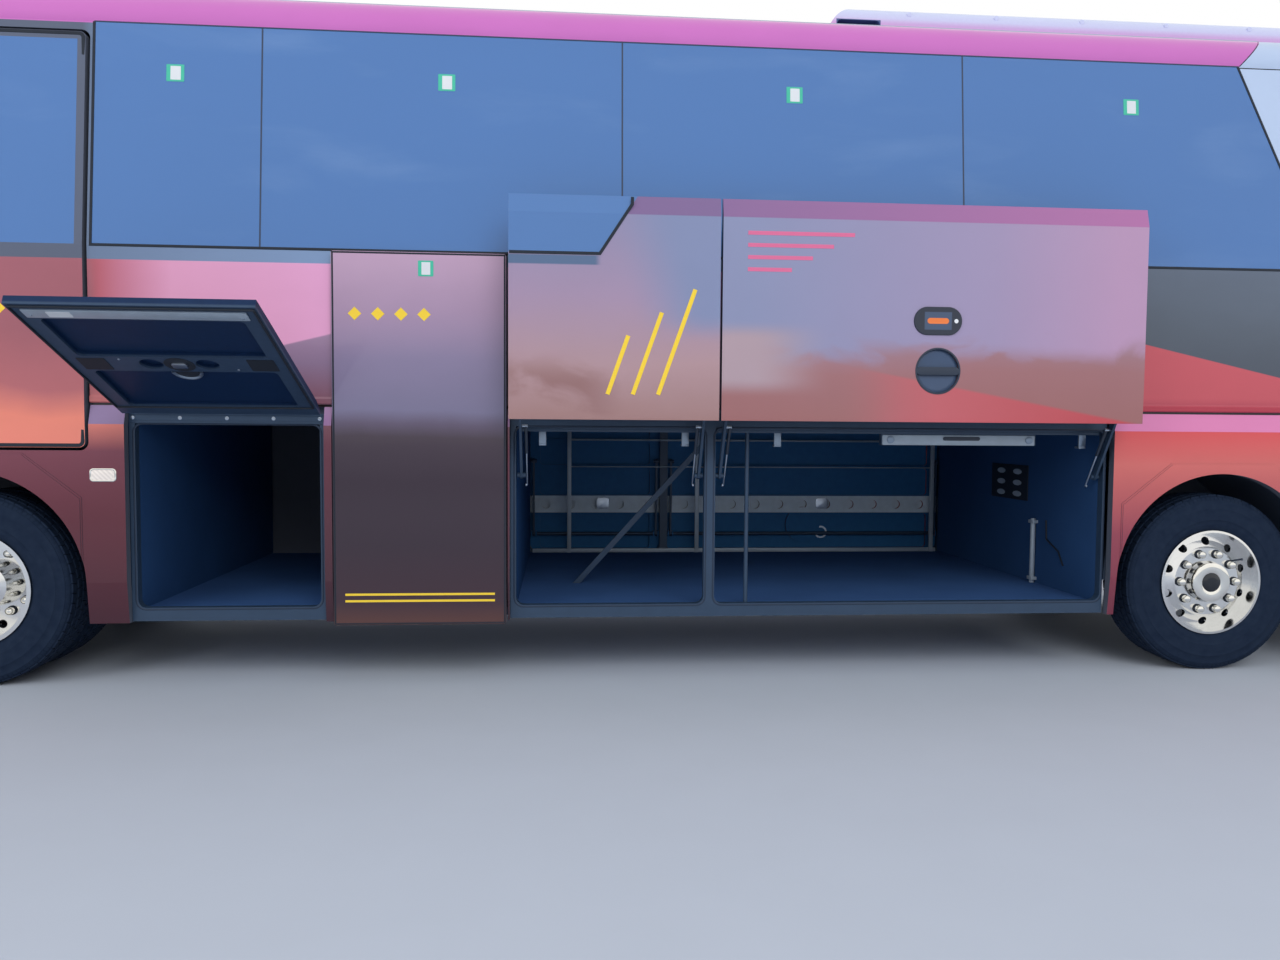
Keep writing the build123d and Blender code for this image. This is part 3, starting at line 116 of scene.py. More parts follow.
# Height, place forward of the row and half width of a back shell, from its foot up
SHELL_ROWS = ((1.822, 0.030, 0.15), (2.000, -0.022, 0.19), (2.350, -0.088, 0.18), (2.500, -0.112, 0.13))

# Half widths of the body by height, and of the flat doors
SKIN = ((0.340, 1.250), (0.560, 1.275), (1.390, 1.275), (1.495, 1.250), (2.315, 1.250), (3.480, 1.150))
DOOR_SKIN = ((0.340, 1.254), (0.560, 1.279), (1.495, 1.279), (2.315, 1.264), (3.480, 1.166))


def half_width(z, rows=SKIN):
    """The body's half width at a height."""
    if z <= rows[0][0]:
        return rows[0][1]
    for (z0, y0), (z1, y1) in zip(rows, rows[1:]):
        if z <= z1:
            return y0 + (y1 - y0) * (z - z0) / (z1 - z0)
    return rows[-1][1]


def on_side(side, rows=SKIN):
    """Carries (x, z) and a distance outwards onto the right (-1) or left (1) side."""
    return lambda x, z, out=0.0: Vector((x, side * (half_width(z, rows) + out), z))


def on_plane(side, y):
    """Carries (x, z) and a distance outwards onto an upright plane beside the body."""
    return lambda x, z, out=0.0: Vector((x, side * (y + out), z))


def on_small_flap(x, z, out=0.0):
    """Carries closed (x, z) onto the inner side of the raised small flap."""
    return SMALL_HINGE + SMALL_TURN @ (Vector((x, out - FLAP_INNER_Y, z)) - SMALL_HINGE)


def srgb(r, g, b):
    """A linear colour from 0 to 255 screen values."""
    def line(v):
        v = v / 255
        return v / 12.92 if v <= 0.04045 else ((v + 0.055) / 1.055) ** 2.4
    return (line(r), line(g), line(b), 1.0)


class Wire:
    """A value inside a material, with arithmetic that adds Math nodes."""

    def __init__(self, finish, socket):
        self.finish = finish
        self.socket = socket

    def maths(self, operation, *values):
        return self.finish.maths(operation, *values)

    def __add__(self, other):
        return self.maths("ADD", self, other)

    def __radd__(self, other):
        return self.maths("ADD", other, self)

    def __sub__(self, other):
        return self.maths("SUBTRACT", self, other)

    def __rsub__(self, other):
        return self.maths("SUBTRACT", other, self)

    def __mul__(self, other):
        return self.maths("MULTIPLY", self, other)

    def __rmul__(self, other):
        return self.maths("MULTIPLY", other, self)

    def size(self):
        return self.maths("ABSOLUTE", self)

    def root(self):
        return self.maths("SQRT", self)


class Finish:
    """A material under construction."""

    def __init__(self, name):
        self.material = bpy.data.materials.new(name)
        self.material.use_nodes = True
        self.tree = self.material.node_tree
        self.tree.nodes.clear()
        self.point = self.node("ShaderNodeTexCoord", out="Object")
        self.facing = Wire(self, self.point.socket.node.outputs["Normal"])
        self.x, self.y, self.z = self.parts(self.point)
        self.nx, self.ny, self.nz = self.parts(self.facing)

    def node(self, kind, settings=None, inputs=None, out=0):
        made = self.tree.nodes.new(kind)
        for key, value in (settings or {}).items():
            if key == "stops":
                set_stops(made.color_ramp, value)
            else:
                setattr(made, key, value)
        for key, value in (inputs or {}).items():
            if isinstance(value, Wire):
                self.tree.links.new(value.socket, made.inputs[key])
            else:
                made.inputs[key].default_value = value
        return Wire(self, made.outputs[out])

    def parts(self, vector):
        first = self.node("ShaderNodeSeparateXYZ", inputs={0: vector})
        outputs = first.socket.node.outputs
        return [Wire(self, outputs[k]) for k in range(3)]

    def maths(self, operation, *values):
        return self.node("ShaderNodeMath", {"operation": operation}, dict(enumerate(values)))

    def step(self, value, low, high):
        """0 below low, 1 above high, smooth between."""
        settings = {"interpolation_type": "SMOOTHSTEP"}
        return self.node("ShaderNodeMapRange", settings, {0: value, 1: low, 2: high})

    def within(self, value, low, high, soft=0.002):
        """1 between low and high."""
        rise = self.step(value, low - soft, low + soft)
        fall = self.step(value, high - soft, high + soft)
        return rise * (1 - fall)

    def ramp(self, value, stops):
        """Colours along a value, from (value, colour) stops."""
        low = stops[0][0]
        span = stops[-1][0] - low
        placed = [((at - low) / span, colour) for at, colour in stops]
        return self.node("ShaderNodeValToRGB", {"stops": placed}, {0: (value - low) * (1 / span)})

    def mix(self, factor, first, second):
        """Colours mixed by a factor."""
        return self.node("ShaderNodeMix", {"data_type": "RGBA"}, {0: factor, 6: first, 7: second}, 2)

    def vector(self, operation, inputs, out=0):
        return self.node("ShaderNodeVectorMath", {"operation": operation}, inputs, out)

    def tint(self, colour, amount, value):
        """A colour made a little lighter or darker by a value from 0 to 1."""
        shade = value * amount + (1 - amount / 2)
        given = colour if isinstance(colour, Wire) else colour[:3]
        return self.vector("SCALE", {0: given, 3: shade})

    def noise(self, scale, detail=3.0, stretch=(1.0, 1.0, 1.0), warp=0.0):
        spread = self.vector("MULTIPLY", {0: self.point, 1: stretch})
        inputs = {"Vector": spread, "Scale": scale, "Detail": detail, "Distortion": warp}
        return self.node("ShaderNodeTexNoise", None, inputs, "Fac")

    def waves(self, direction, scale):
        """Bands that follow each other in a direction."""
        settings = {"wave_type": "BANDS", "bands_direction": direction}
        return self.node("ShaderNodeTexWave", settings, {"Vector": self.point, "Scale": scale}, "Fac")

    def bump(self, height, strength=0.3, distance=0.001):
        inputs = {"Strength": strength, "Distance": distance, "Height": height}
        return self.node("ShaderNodeBump", None, inputs)

    def grain(self, scale, detail=3.0, strength=0.15, distance=0.0005):
        """Fine relief."""
        return self.bump(self.noise(scale, detail), strength, distance)

    def outward(self, centre):
        """1 on faces that look away from a point."""
        arm = self.vector("SUBTRACT", {0: self.point, 1: centre})
        return self.step(self.vector("DOT_PRODUCT", {0: arm, 1: self.facing}, "Value"), 0.0, 0.02)

    def off_right(self):
        """1 on faces that don't look out to the right."""
        return self.step(self.ny, -0.15, 0.0)

    def surface(self, base, roughness=0.4, metallic=0.0, normal=None, coat=0.0, **more):
        """A principled surface; names in more use underscores for spaces."""
        inputs = {"Base Color": base, "Roughness": roughness, "Metallic": metallic, "Coat Weight": coat}
        if normal is not None:
            inputs["Normal"] = normal
        inputs.update({key.replace("_", " "): value for key, value in more.items()})
        return self.node("ShaderNodeBsdfPrincipled", None, inputs)

    def blend(self, factor, first, second):
        """Two surfaces mixed by a factor."""
        return self.node("ShaderNodeMixShader", None, {0: factor, 1: first, 2: second})

    def done(self, shader):
        output = self.tree.nodes.new("ShaderNodeOutputMaterial")
        self.tree.links.new(shader.socket, output.inputs["Surface"])
        return self.material


def set_stops(ramp, stops):
    """Fills a colour ramp from (place, colour) stops."""
    while len(ramp.elements) > 1:
        ramp.elements.remove(ramp.elements[-1])
    ramp.elements[0].position = stops[0][0]
    ramp.elements[0].color = stops[0][1]
    for place, colour in stops[1:]:
        ramp.elements.new(place).color = colour


COVE = srgb(202, 108, 188)
ROOF = srgb(210, 128, 194)
SILVER = srgb(184, 202, 230)
BELT_DARK = srgb(80, 90, 112)
BELT_SKY_BLUE = srgb(122, 148, 186)
RUBBER = srgb(24, 33, 46)
LINING = srgb(84, 90, 104)

# Paint by height at the rear, the middle and the front of the side: the middle's lavender and pink are
# painted sky reflection over the red, and the front's stop at 1.20 is a painted highlight on the arch brow
REAR_PAINT = (
    (0.34, srgb(62, 18, 34)),
    (0.90, srgb(92, 28, 44)),
    (1.25, srgb(120, 58, 74)),
    (1.39, srgb(216, 120, 108)),
    (1.56, srgb(168, 90, 96)),
    (1.72, srgb(140, 78, 92)),
    (1.95, srgb(146, 86, 96)),
    (2.15, srgb(164, 90, 104)),
    (2.26, srgb(168, 88, 102)),
)
MIDDLE_PAINT_AND_SKY = (
    (0.34, srgb(52, 18, 34)),
    (0.80, srgb(76, 28, 44)),
    (1.30, srgb(100, 44, 62)),
    (1.50, srgb(128, 80, 94)),
    (1.72, srgb(140, 116, 146)),
    (1.95, srgb(166, 134, 166)),
    (2.24, srgb(206, 146, 186)),
)
FRONT_PAINT_AND_HIGHLIGHT = (
    (0.34, srgb(112, 40, 60)),
    (0.80, srgb(148, 60, 78)),
    (1.20, srgb(214, 108, 104)),
    (1.39, srgb(222, 78, 82)),
    (1.50, srgb(166, 50, 74)),
    (1.58, srgb(198, 80, 92)),
    (1.90, srgb(205, 84, 96)),
)
WAIST_SKY_REFLECTION = (
    (-3.0, srgb(128, 114, 152)),
    (1.0, srgb(184, 120, 166)),
    (3.4, srgb(222, 128, 178)),
)
SWEEP_PAINT = (
    (1.40, srgb(56, 62, 76)),
    (1.62, srgb(66, 74, 88)),
    (1.95, srgb(78, 88, 102)),
    (2.30, srgb(90, 102, 120)),
)
BELT_PAINT_AND_SKY = (
    (-2.56, BELT_DARK),
    (-2.50, srgb(98, 118, 148)),
    (-1.9, srgb(116, 140, 176)),
    (-1.4, BELT_SKY_BLUE),
)
COVE_PAINT = (
    (3.45, COVE),
    (3.63, COVE),
    (3.69, ROOF),
    (3.755, srgb(226, 170, 208)),
)
FLAP_ONE_PAINT_AND_SKY = (
    (1.45, srgb(160, 122, 120)),
    (1.70, srgb(176, 142, 148)),
    (2.06, srgb(162, 138, 166)),
    (2.40, srgb(146, 136, 168)),
)
FLAP_TWO_SKY_REFLECTION = ((0.9, srgb(136, 142, 176)), (2.2, srgb(160, 144, 178)), (2.9, srgb(184, 146, 180)))
FLAP_TWO_HORIZON_REFLECTION = ((1.45, srgb(156, 102, 102)), (1.68, srgb(158, 106, 110)), (1.88, srgb(158, 124, 140)))
FLAP_TWO_WEDGE = ((1.3, srgb(160, 104, 108)), (1.9, srgb(194, 94, 102)), (2.9, srgb(190, 68, 78)))
HEM_PAINT = ((0.3, srgb(122, 96, 142)), (3.0, srgb(174, 106, 160)))
# The middle door: dark red low down, painted sky reflection in mauve and lavender above
MID_DOOR_PAINT_AND_SKY = (
    (0.33, srgb(88, 52, 46)),
    (0.45, srgb(56, 32, 44)),
    (0.75, srgb(44, 26, 42)),
    (1.10, srgb(46, 30, 46)),
    (1.33, srgb(62, 48, 62)),
    (1.40, srgb(92, 80, 104)),
    (1.47, srgb(118, 112, 142)),
    (1.75, srgb(134, 122, 154)),
    (2.00, srgb(168, 140, 170)),
    (2.30, srgb(192, 158, 186)),
)
HIGH_DOOR_PAINT = (
    (1.27, srgb(238, 134, 116)),
    (1.45, srgb(234, 132, 112)),
    (1.60, srgb(176, 96, 102)),
    (1.90, srgb(156, 86, 98)),
    (2.25, srgb(160, 88, 102)),
)
TAIL_LENS_PAINT = (
    (0.90, srgb(178, 30, 40)),
    (1.13, srgb(236, 132, 50)),
    (1.31, srgb(226, 220, 214)),
    (1.42, srgb(178, 30, 40)),
)
# The white pod, with painted lavender and pink shade towards its foot
POD_PAINT_AND_SHADE = (
    (3.70, srgb(206, 140, 200)),
    (3.77, srgb(206, 168, 216)),
    (3.80, srgb(204, 202, 234)),
    (3.86, srgb(206, 214, 242)),
    (3.905, srgb(232, 240, 250)),
)


def livery(f):
    """The side's paint: red below, painted sky reflection in lavender and pink in the middle, dark over the
    front wheel.
    """
    haze = f.noise(1.1, 3.0, (1.0, 1.0, 2.4))
    along = f.x + (haze - 0.5) * 0.5
    # Paint by height, with painted sky reflection in the middle and a painted highlight on the front arch's
    # brow
    colour = f.mix(f.step(along, -2.35, -1.75), f.ramp(f.z, REAR_PAINT), f.ramp(f.z, MIDDLE_PAINT_AND_SKY))
    colour = f.mix(f.step(along, 1.0, 2.6), colour, f.ramp(f.z, FRONT_PAINT_AND_HIGHLIGHT))
    # A pale field under the windows that rises towards the front
    pink = f.ramp(f.x, ((-2.5, srgb(176, 76, 88)), (-2.1, srgb(224, 156, 192)), (-1.2, srgb(232, 164, 208))))
    field = f.step(f.z - (f.x + 0.56) * 0.252, 2.052, 2.064)
    colour = f.mix(field * f.step(f.x, -2.52, -2.45) * (1 - f.step(f.x, -1.30, -1.28)), colour, pink)
    # The dark sweep above the front wheel
    dark = f.tint(f.ramp(f.z, SWEEP_PAINT), 0.3, f.noise(1.6, 4.0, (1.0, 1.0, 2.0)))
    sweep = f.step(f.z + (f.x - 3.234) * 0.22, 1.877, 1.883) * f.step(f.x, 2.6, 2.8)
    colour = f.mix(sweep, colour, dark)
    # The chamfer at the waist in painted sky reflection, the groove over it in painted shadow, and the lip
    # over that
    colour = f.mix(f.within(f.z, BELT_Z, GROOVE_Z - 0.006, 0.001), colour, f.ramp(f.x, WAIST_SKY_REFLECTION))
    # Painted shadow: a near-black line along the groove under the upper body's edge
    colour = f.mix(f.within(f.z, GROOVE_Z - 0.006, GROOVE_Z + 0.006, 0.001), colour, srgb(26, 18, 26))
    lip = f.within(f.z, GROOVE_Z + 0.008, GROOVE_Z + 0.040, 0.003) * f.step(f.x, 2.6, 3.0)
    colour = f.mix(lip, colour, srgb(178, 46, 68))
    # The dark belt under the windows, lightened to blue forwards by painted sky reflection
    belt = f.step(f.z, 2.240, 2.243) * (1 - f.step(f.x, 2.6, 2.8))
    colour = f.mix(belt, colour, f.ramp(f.x, BELT_PAINT_AND_SKY))
    # The cove over the windows and the silver pillar before them
    colour = f.mix(f.step(f.z, 3.472, 3.476), colour, f.ramp(f.z, COVE_PAINT))
    silver = f.tint(SILVER, 0.10, f.noise(1.2, 2.0))
    return f.mix(silver_head(f), colour, silver)


def silver_head(f):
    """1 ahead of the slanted pillar, and of the line that leans forward over it."""
    pillar = f.step(f.x + (f.z - GLASS_TOP_Z) * 0.4335, PILLAR_TOP_X, PILLAR_TOP_X + 0.006)
    over_pillar = f.step(f.x - (f.z - GLASS_TOP_Z) * 0.947, PILLAR_TOP_X + 0.008, PILLAR_TOP_X + 0.012)
    high = f.step(f.z, GLASS_TOP_Z - 0.001, GLASS_TOP_Z + 0.001)
    return (pillar * (1 - high) + over_pillar * high) * f.step(f.z, 2.308, 2.312)


def gloss_surface(f, colour):
    """Clear-coated paint with a faint orange peel."""
    scuff = f.noise(9.0, 5.0)
    shade = f.tint(colour, 0.10, f.noise(2.3, 4.0, (1.0, 1.0, 2.2)))
    peel = f.grain(420.0, 2.0, 0.03)
    return f.surface(shade, scuff * 0.10 + 0.30, 0.0, peel, coat=0.35, Coat_Roughness=0.05)


def lining_surface(f):
    return f.surface(f.tint(LINING, 0.2, f.noise(9.0, 5.0)), 0.75, 0.0, f.grain(300.0, 2.0, 0.2))


def pressed_steel(f, colour, roughness, metallic, **more):
    """Painted steel with soft wear."""
    return f.surface(f.tint(colour, 0.3, f.noise(30.0, 4.0)), roughness, metallic, f.grain(180.0), **more)


def gloss(f, colour, lining):
    """Clear-coated paint, and a plain lining where the mask is 1."""
    return f.done(f.blend(lining, gloss_surface(f, colour), lining_surface(f)))


def side_paint(side):
    def make(name):
        f = Finish(name)
        return gloss(f, livery(f), 1 - f.step(f.ny * side, 0.0, 0.15))
    return make


def span(f, value, low, high):
    """1 where the value's size lies between two bounds."""
    return f.within(value.size(), low, high, 0.0008)


def disc(f, y, z, radius):
    """1 inside a circle seen from the front, mirrored about the centre plane."""
    across = f.y.size() - y
    away = (across * across + (f.z - z) * (f.z - z)).root()
    return 1 - f.step(away, radius - 0.001, radius + 0.001)


def with_plate(f, shown, low, high):
    """A surface that carries a bare number plate between two heights."""
    plate = f.surface(f.tint(srgb(218, 222, 226), 0.08, f.noise(40.0, 3.0)), 0.4)
    return f.blend((1 - f.step(f.y.size(), 0.264, 0.266)) * f.within(f.z, low, high), shown, plate)


def front_cap_paint(name):
    """Paint with a silver head, a black bumper, and the lamps, plate and wipers on it."""
    f = Finish(name)
    colour = livery(f)
    brow = f.step(f.z, 3.30, 3.34)
    colour = f.mix(brow * f.step(f.x, 5.60, 5.70), colour, SILVER)
    nose = f.ramp(f.z, ((0.69, srgb(150, 60, 78)), (1.10, srgb(190, 84, 96)), (1.38, srgb(92, 104, 122))))
    colour = f.mix(f.step(f.x, 5.95, 6.30) * (1 - f.step(f.z, 1.38, 1.40)), colour, nose)
    grille = f.within(f.z, 0.790, 1.180) * (1 - f.step(f.y.size(), 0.56, 0.57))
    colour = f.mix(grille, colour, srgb(30, 36, 46))
    colour = f.mix(1 - f.step(f.z, 0.690, 0.694), colour, srgb(44, 50, 62))
    colour = f.mix(span(f, f.y, 0.0, 1.15) * f.within(f.z, 1.43, 1.60), colour, srgb(20, 24, 30))
    paint = gloss_surface(f, colour)
    lens = f.surface(srgb(36, 44, 56), 0.10, 0.0, coat=1.0)
    bowl = f.surface(srgb(206, 214, 224), 0.08, 0.7, coat=1.0)
    shown = f.blend(span(f, f.y, 0.630, 1.245) * f.within(f.z, 0.765, 1.004), paint, lens)
    shown = f.blend(disc(f, 0.8185, 0.885, 0.080) + disc(f, 1.0446, 0.885, 0.080), shown, bowl)
    shown = with_plate(f, shown, 0.566, 0.684)
    return f.done(f.blend(1 - f.outward((5.0, 0.0, 1.9)), shown, lining_surface(f)))


def rear_cap_paint(name):
    """Paint with a black bumper and the tail lamps' dark red lenses."""
    f = Finish(name)
    colour = f.mix(1 - f.step(f.x, -6.42, -6.34), livery(f), f.ramp(f.z, REAR_PAINT))
    colour = f.mix(f.step(f.z, 3.34, 3.36), colour, COVE)
    colour = f.mix(1 - f.step(f.z, 0.545, 0.549), colour, srgb(44, 50, 62))
    paint = gloss_surface(f, colour)
    cluster = f.surface(srgb(70, 16, 26), 0.10, 0.0, coat=1.0)
    lens = f.surface(f.ramp(f.z, TAIL_LENS_PAINT), 0.12, 0.0, coat=1.0)
    lamps = sum(disc(f, 1.100, z, 0.064) for z in (0.860, 1.040, 1.220, 1.400))
    back = 1 - f.step(f.x, -6.31, -6.29)
    shown = f.blend(span(f, f.y, 1.008, 1.212) * f.within(f.z, 0.754, 1.566) * back, paint, cluster)
    shown = with_plate(f, f.blend(lamps * back, shown, lens), 0.641, 0.759)
    return f.done(f.blend(1 - f.outward((-5.6, 0.0, 1.9)), shown, lining_surface(f)))


def left_flap_paint(name):
    """A closed flap: body paint outside, dark pressed steel with a pale punched beam inside."""
    f = Finish(name)
    beam = f.mix(f.within(f.z, 0.712, 0.848), srgb(50, 108, 160), srgb(228, 242, 252))
    steel = f.surface(f.tint(beam, 0.25, f.noise(20.0, 5.0)), 0.45, 0.0, f.grain(120.0), IOR=1.2)
    return f.done(f.blend(1 - f.off_right(), gloss_surface(f, livery(f)), steel))


def roof_paint(name):
    f = Finish(name)
    edge = f.step(f.y * f.y, 1.00, 1.24)
    pale = f.mix(f.step(f.x, 1.2, 2.4), srgb(214, 140, 192), srgb(202, 206, 232))
    colour = f.mix(edge, pale, f.ramp(f.z, COVE_PAINT))
    colour = f.mix(silver_head(f) * f.step(f.y * f.y, 0.98, 1.02), colour, SILVER)
    return gloss(f, colour, 1 - f.outward((0.0, 0.0, 2.4)))


def pod_paint(name):
    f = Finish(name)
    # Painted shade: a dark lens in the scoop under the pod's nose, between pod and roof
    scoop_shade = f.within(f.x, 1.520, 1.785) * f.within(f.z, 3.722, 3.788)
    colour = f.mix(scoop_shade, f.ramp(f.z, POD_PAINT_AND_SHADE), srgb(62, 84, 132))
    speck = f.noise(60.0, 4.0)
    shell = f.grain(160.0, 3.0, 0.06, 0.0006)
    return f.done(f.surface(f.tint(colour, 0.08, speck), speck * 0.15 + 0.35, 0.0, shell, coat=0.3))


def flap_paint(field):
    """Paint of a lifting flap as it hangs open, with painted sky, cloud and horizon reflection in it, and
    dark steel on its inner side.
    """
    def make(name):
        f = Finish(name)
        # Painted cloud reflection wavers the paint's height, and a ragged mask shapes the painted horizon
        # reflection
        cloud_reflection = f.noise(1.7, 4.0, (1.0, 1.0, 2.6))
        horizon_reflection = f.step(f.noise(2.6, 6.0, (1.0, 1.0, 2.0), 0.6), 0.40, 0.60)
        colour = f.tint(field(f, f.z + (cloud_reflection - 0.5) * 0.14, horizon_reflection), 0.06, f.noise(3.0, 3.0))
        peel = f.grain(420.0, 2.0, 0.03)
        paint = f.surface(colour, 0.32, 0.0, peel, coat=0.3, Coat_Roughness=0.05)
        return f.done(f.blend(f.off_right(), paint, pressed_steel(f, srgb(62, 72, 88), 0.5, 0.2)))
    return make


def flap_one_field(f, high, horizon_reflection):
    """Rose low down and painted sky reflection in lavender over it, with a ragged brown patch of painted
    horizon reflection and a blue wash of painted sky reflection ahead of the window's corner.
    """
    colour = f.ramp(high, FLAP_ONE_PAINT_AND_SKY)
    sky_wash = f.step(f.x + (f.z - 2.0) * 0.3, 0.25, 0.65) * f.step(high, 1.80, 2.00)
    colour = f.mix(sky_wash, colour, srgb(128, 138, 174))
    # Painted horizon reflection: a ragged brown patch low on the flap's rear
    shade = horizon_reflection * (1 - f.step(f.x, 0.0, 0.3)) * (1 - f.step(f.z, 1.60, 1.80))
    colour = f.mix(shade, colour, srgb(146, 106, 106))
    belt = f.within(f.z, 2.215, 2.262, 0.004) * (1 - f.step(f.x, 0.09, 0.13))
    colour = f.mix(belt, colour, srgb(80, 104, 138))
    colour = f.mix(f.step(f.z, 2.470, 2.476), colour, HEM_PAINT[0][1])
    return f.mix(raised_pane(f), colour, srgb(78, 120, 176))


def flap_two_field(f, high, horizon_reflection):
    """Painted sky reflection in lavender that warms forwards, over a ragged brown band of painted horizon
    reflection, a red wedge and the marker.
    """
    horizon_band = 1 - f.step(high - horizon_reflection * 0.07, 1.70, 1.84)
    colour = f.mix(horizon_band, f.ramp(f.x, FLAP_TWO_SKY_REFLECTION), f.ramp(high, FLAP_TWO_HORIZON_REFLECTION))
    corner = (1 - f.step(f.x, 0.90, 1.35)) * f.within(f.z, 1.60, 1.90, 0.05)
    colour = f.mix(corner, colour, srgb(176, 152, 162))
    wedge = (1 - f.step(f.x * 0.182 + f.z, 1.965, 1.985)) * f.step(f.x, 1.30, 1.75)
    colour = f.mix(wedge, colour, f.ramp(f.x, FLAP_TWO_WEDGE))
    bezel, body, slot, lens = marker_lamp(f)
    colour = f.mix(bezel, colour, srgb(26, 36, 54))
    colour = f.mix(body, colour, srgb(62, 80, 108))
    colour = f.mix(slot, colour, srgb(240, 124, 56))
    colour = f.mix(lens, colour, srgb(232, 236, 240))
    return f.mix(f.step(f.z, 2.470, 2.476), colour, f.ramp(f.x, HEM_PAINT))


def oval(f, x, z, half_w, half_h):
    """1 inside a rounded level shape about a place on the side."""
    across = f.maths("MAXIMUM", (f.x - x).size() - (half_w - half_h), 0.0)
    away = (across * across + (f.z - z) * (f.z - z)).root()
    return 1 - f.step(away, half_h - 0.001, half_h + 0.001)


def marker_lamp(f):
    """Masks of the raised flap's marker: bezel, body, amber slot and pale lens."""
    front = 1 - f.off_right()
    x, z = 1.893, 1.960
    return [
        oval(f, x, z, 0.130, 0.074) * front,
        f.within(f.x, x - 0.074, x + 0.072, 0.003) * f.within(f.z, z - 0.046, z + 0.046, 0.003) * front,
        oval(f, x - 0.001, z, 0.058, 0.015) * front,
        oval(f, x + 0.097, z, 0.011, 0.011) * front,
    ]


def raised_pane(f):
    """1 on the cut corner of the raised first flap, which shows the window's colour."""
    slope = (f.z - 2.272) - (f.x - 0.118) * 1.537
    return f.step(slope, -0.004, 0.004) * f.step(f.z, 2.270, 2.276)


def mid_door_paint(name):
    f = Finish(name)
    # Dark red low down and painted sky reflection above, wavered by painted cloud reflection
    cloud_reflection = f.noise(1.8, 4.0, (1.6, 1.0, 1.6))
    return gloss(f, f.ramp(f.z + (cloud_reflection - 0.5) * 0.05, MID_DOOR_PAINT_AND_SKY), f.off_right())


def high_door_paint(name):
    f = Finish(name)
    colour = f.ramp(f.z + (f.noise(1.6, 3.0) - 0.5) * 0.2, HIGH_DOOR_PAINT)
    return gloss(f, f.mix(f.step(f.z, 2.240, 2.243), colour, BELT_DARK), f.off_right())


def front_door_paint(name):
    f = Finish(name)
    return gloss(f, livery(f), f.off_right())


def small_flap_finish(name):
    """The raised small flap: the side's paint on top, dark pressed steel below."""
    f = Finish(name)
    sine, cosine = math.sin(SMALL_OPEN), math.cos(SMALL_OPEN)
    out, up = f.y - SMALL_HINGE.y, f.z - SMALL_HINGE.z
    # The height that a place has once the flap is down, and its depth from the flap's face
    height = out * sine + up * cosine + SMALL_HINGE.z
    depth = out * cosine - up * sine
    # The side's paint by closed height, carrying the painted sky reflection of the side's middle
    top = f.mix(f.step(f.x, -2.35, -1.75), f.ramp(height, REAR_PAINT), f.ramp(height, MIDDLE_PAINT_AND_SKY))
    pressed = f.mix(f.step(depth, 0.034, 0.042), srgb(18, 42, 76), srgb(56, 74, 98))
    steel = pressed_steel(f, pressed, 0.45, 0.0, IOR=1.3)
    return f.done(f.blend(f.step(f.nz, 0.5, 0.7), steel, gloss_surface(f, top)))


def window_glass(name):
    """Dark blue tinted glass, its blue partly tint and partly painted sky reflection, with soft pale streaks
    of painted cloud reflection.
    """
    f = Finish(name)
    cloud_streaks = f.step(f.noise(1.3, 6.0, (0.7, 0.7, 2.6), 0.4), 0.52, 0.86)
    colour = f.mix(cloud_streaks * 0.30, srgb(72, 120, 182), srgb(120, 156, 204))
    colour = f.tint(colour, 0.10, f.noise(0.6, 2.0, (1.0, 1.0, 2.0)))
    return f.done(f.surface(colour, 0.07, 0.0, coat=0.4, Alpha=0.94, Coat_Roughness=0.03))


def clear_glass(name):
    f = Finish(name)
    colour = f.tint(srgb(70, 92, 116), 0.15, f.noise(1.0, 3.0))
    return f.done(f.surface(colour, 0.05, 0.0, coat=0.5, Alpha=0.55, Coat_Roughness=0.03))


def plain(colour, roughness=0.6, metallic=0.0, grain=200.0, strength=0.15, spread=0.2, coat=0.0):
    """A maker for a finish of one colour with fine grain and soft wear."""
    def make(name):
        f = Finish(name)
        wear = f.noise(14.0, 5.0)
        shade = f.tint(colour, spread, wear)
        relief = f.grain(grain, 3.0, strength)
        return f.done(f.surface(shade, wear * 0.12 + (roughness - 0.06), metallic, relief, coat=coat))
    return make


def tyre_finish(name):
    """Rubber with dust in its grain."""
    f = Finish(name)
    dust = f.noise(22.0, 6.0)
    shade = f.mix(dust * 0.5, srgb(20, 32, 52), srgb(54, 66, 84))
    return f.done(f.surface(shade, dust * 0.2 + 0.60, 0.0, f.grain(260.0, 4.0, 0.25, 0.0008), IOR=1.15))


def polished(colour, roughness):
    """A maker for bright metal with fine turning marks."""
    def make(name):
        f = Finish(name)
        smear = f.noise(18.0, 5.0, (1.0, 4.0, 1.0))
        normal = f.bump(f.noise(500.0, 2.0, (1.0, 8.0, 1.0)), 0.04, 0.0004)
        return f.done(f.surface(f.tint(colour, 0.12, smear), smear * 0.10 + roughness, 1.0, normal))
    return make


def bay_lining(name):
    """Blue-grey floor covering and walls; the floor is painted lighter than the walls, as painted light."""
    f = Finish(name)
    fibre = f.noise(260.0, 5.0)
    worn = f.noise(2.5, 5.0)
    # Painted light: faces that look up in the bay floor are lighter than the walls
    up = f.step(f.nz, 0.5, 0.8) * (1 - f.step(f.z, 0.5, 0.6))
    colour = f.mix(up, f.tint(srgb(48, 80, 124), 0.3, worn), f.tint(srgb(62, 94, 144), 0.3, worn))
    colour = f.tint(colour, 0.25, fibre)
    return f.done(f.surface(colour, 0.9, 0.0, f.bump(fibre, 0.5, 0.002), IOR=1.0))


def cabin_covering(name):
    f = Finish(name)
    speck = f.noise(180.0, 5.0)
    colour = f.mix(speck * 0.6, srgb(74, 84, 104), srgb(98, 108, 128))
    return f.done(f.surface(colour, 0.8, 0.0, f.bump(speck, 0.3, 0.001)))


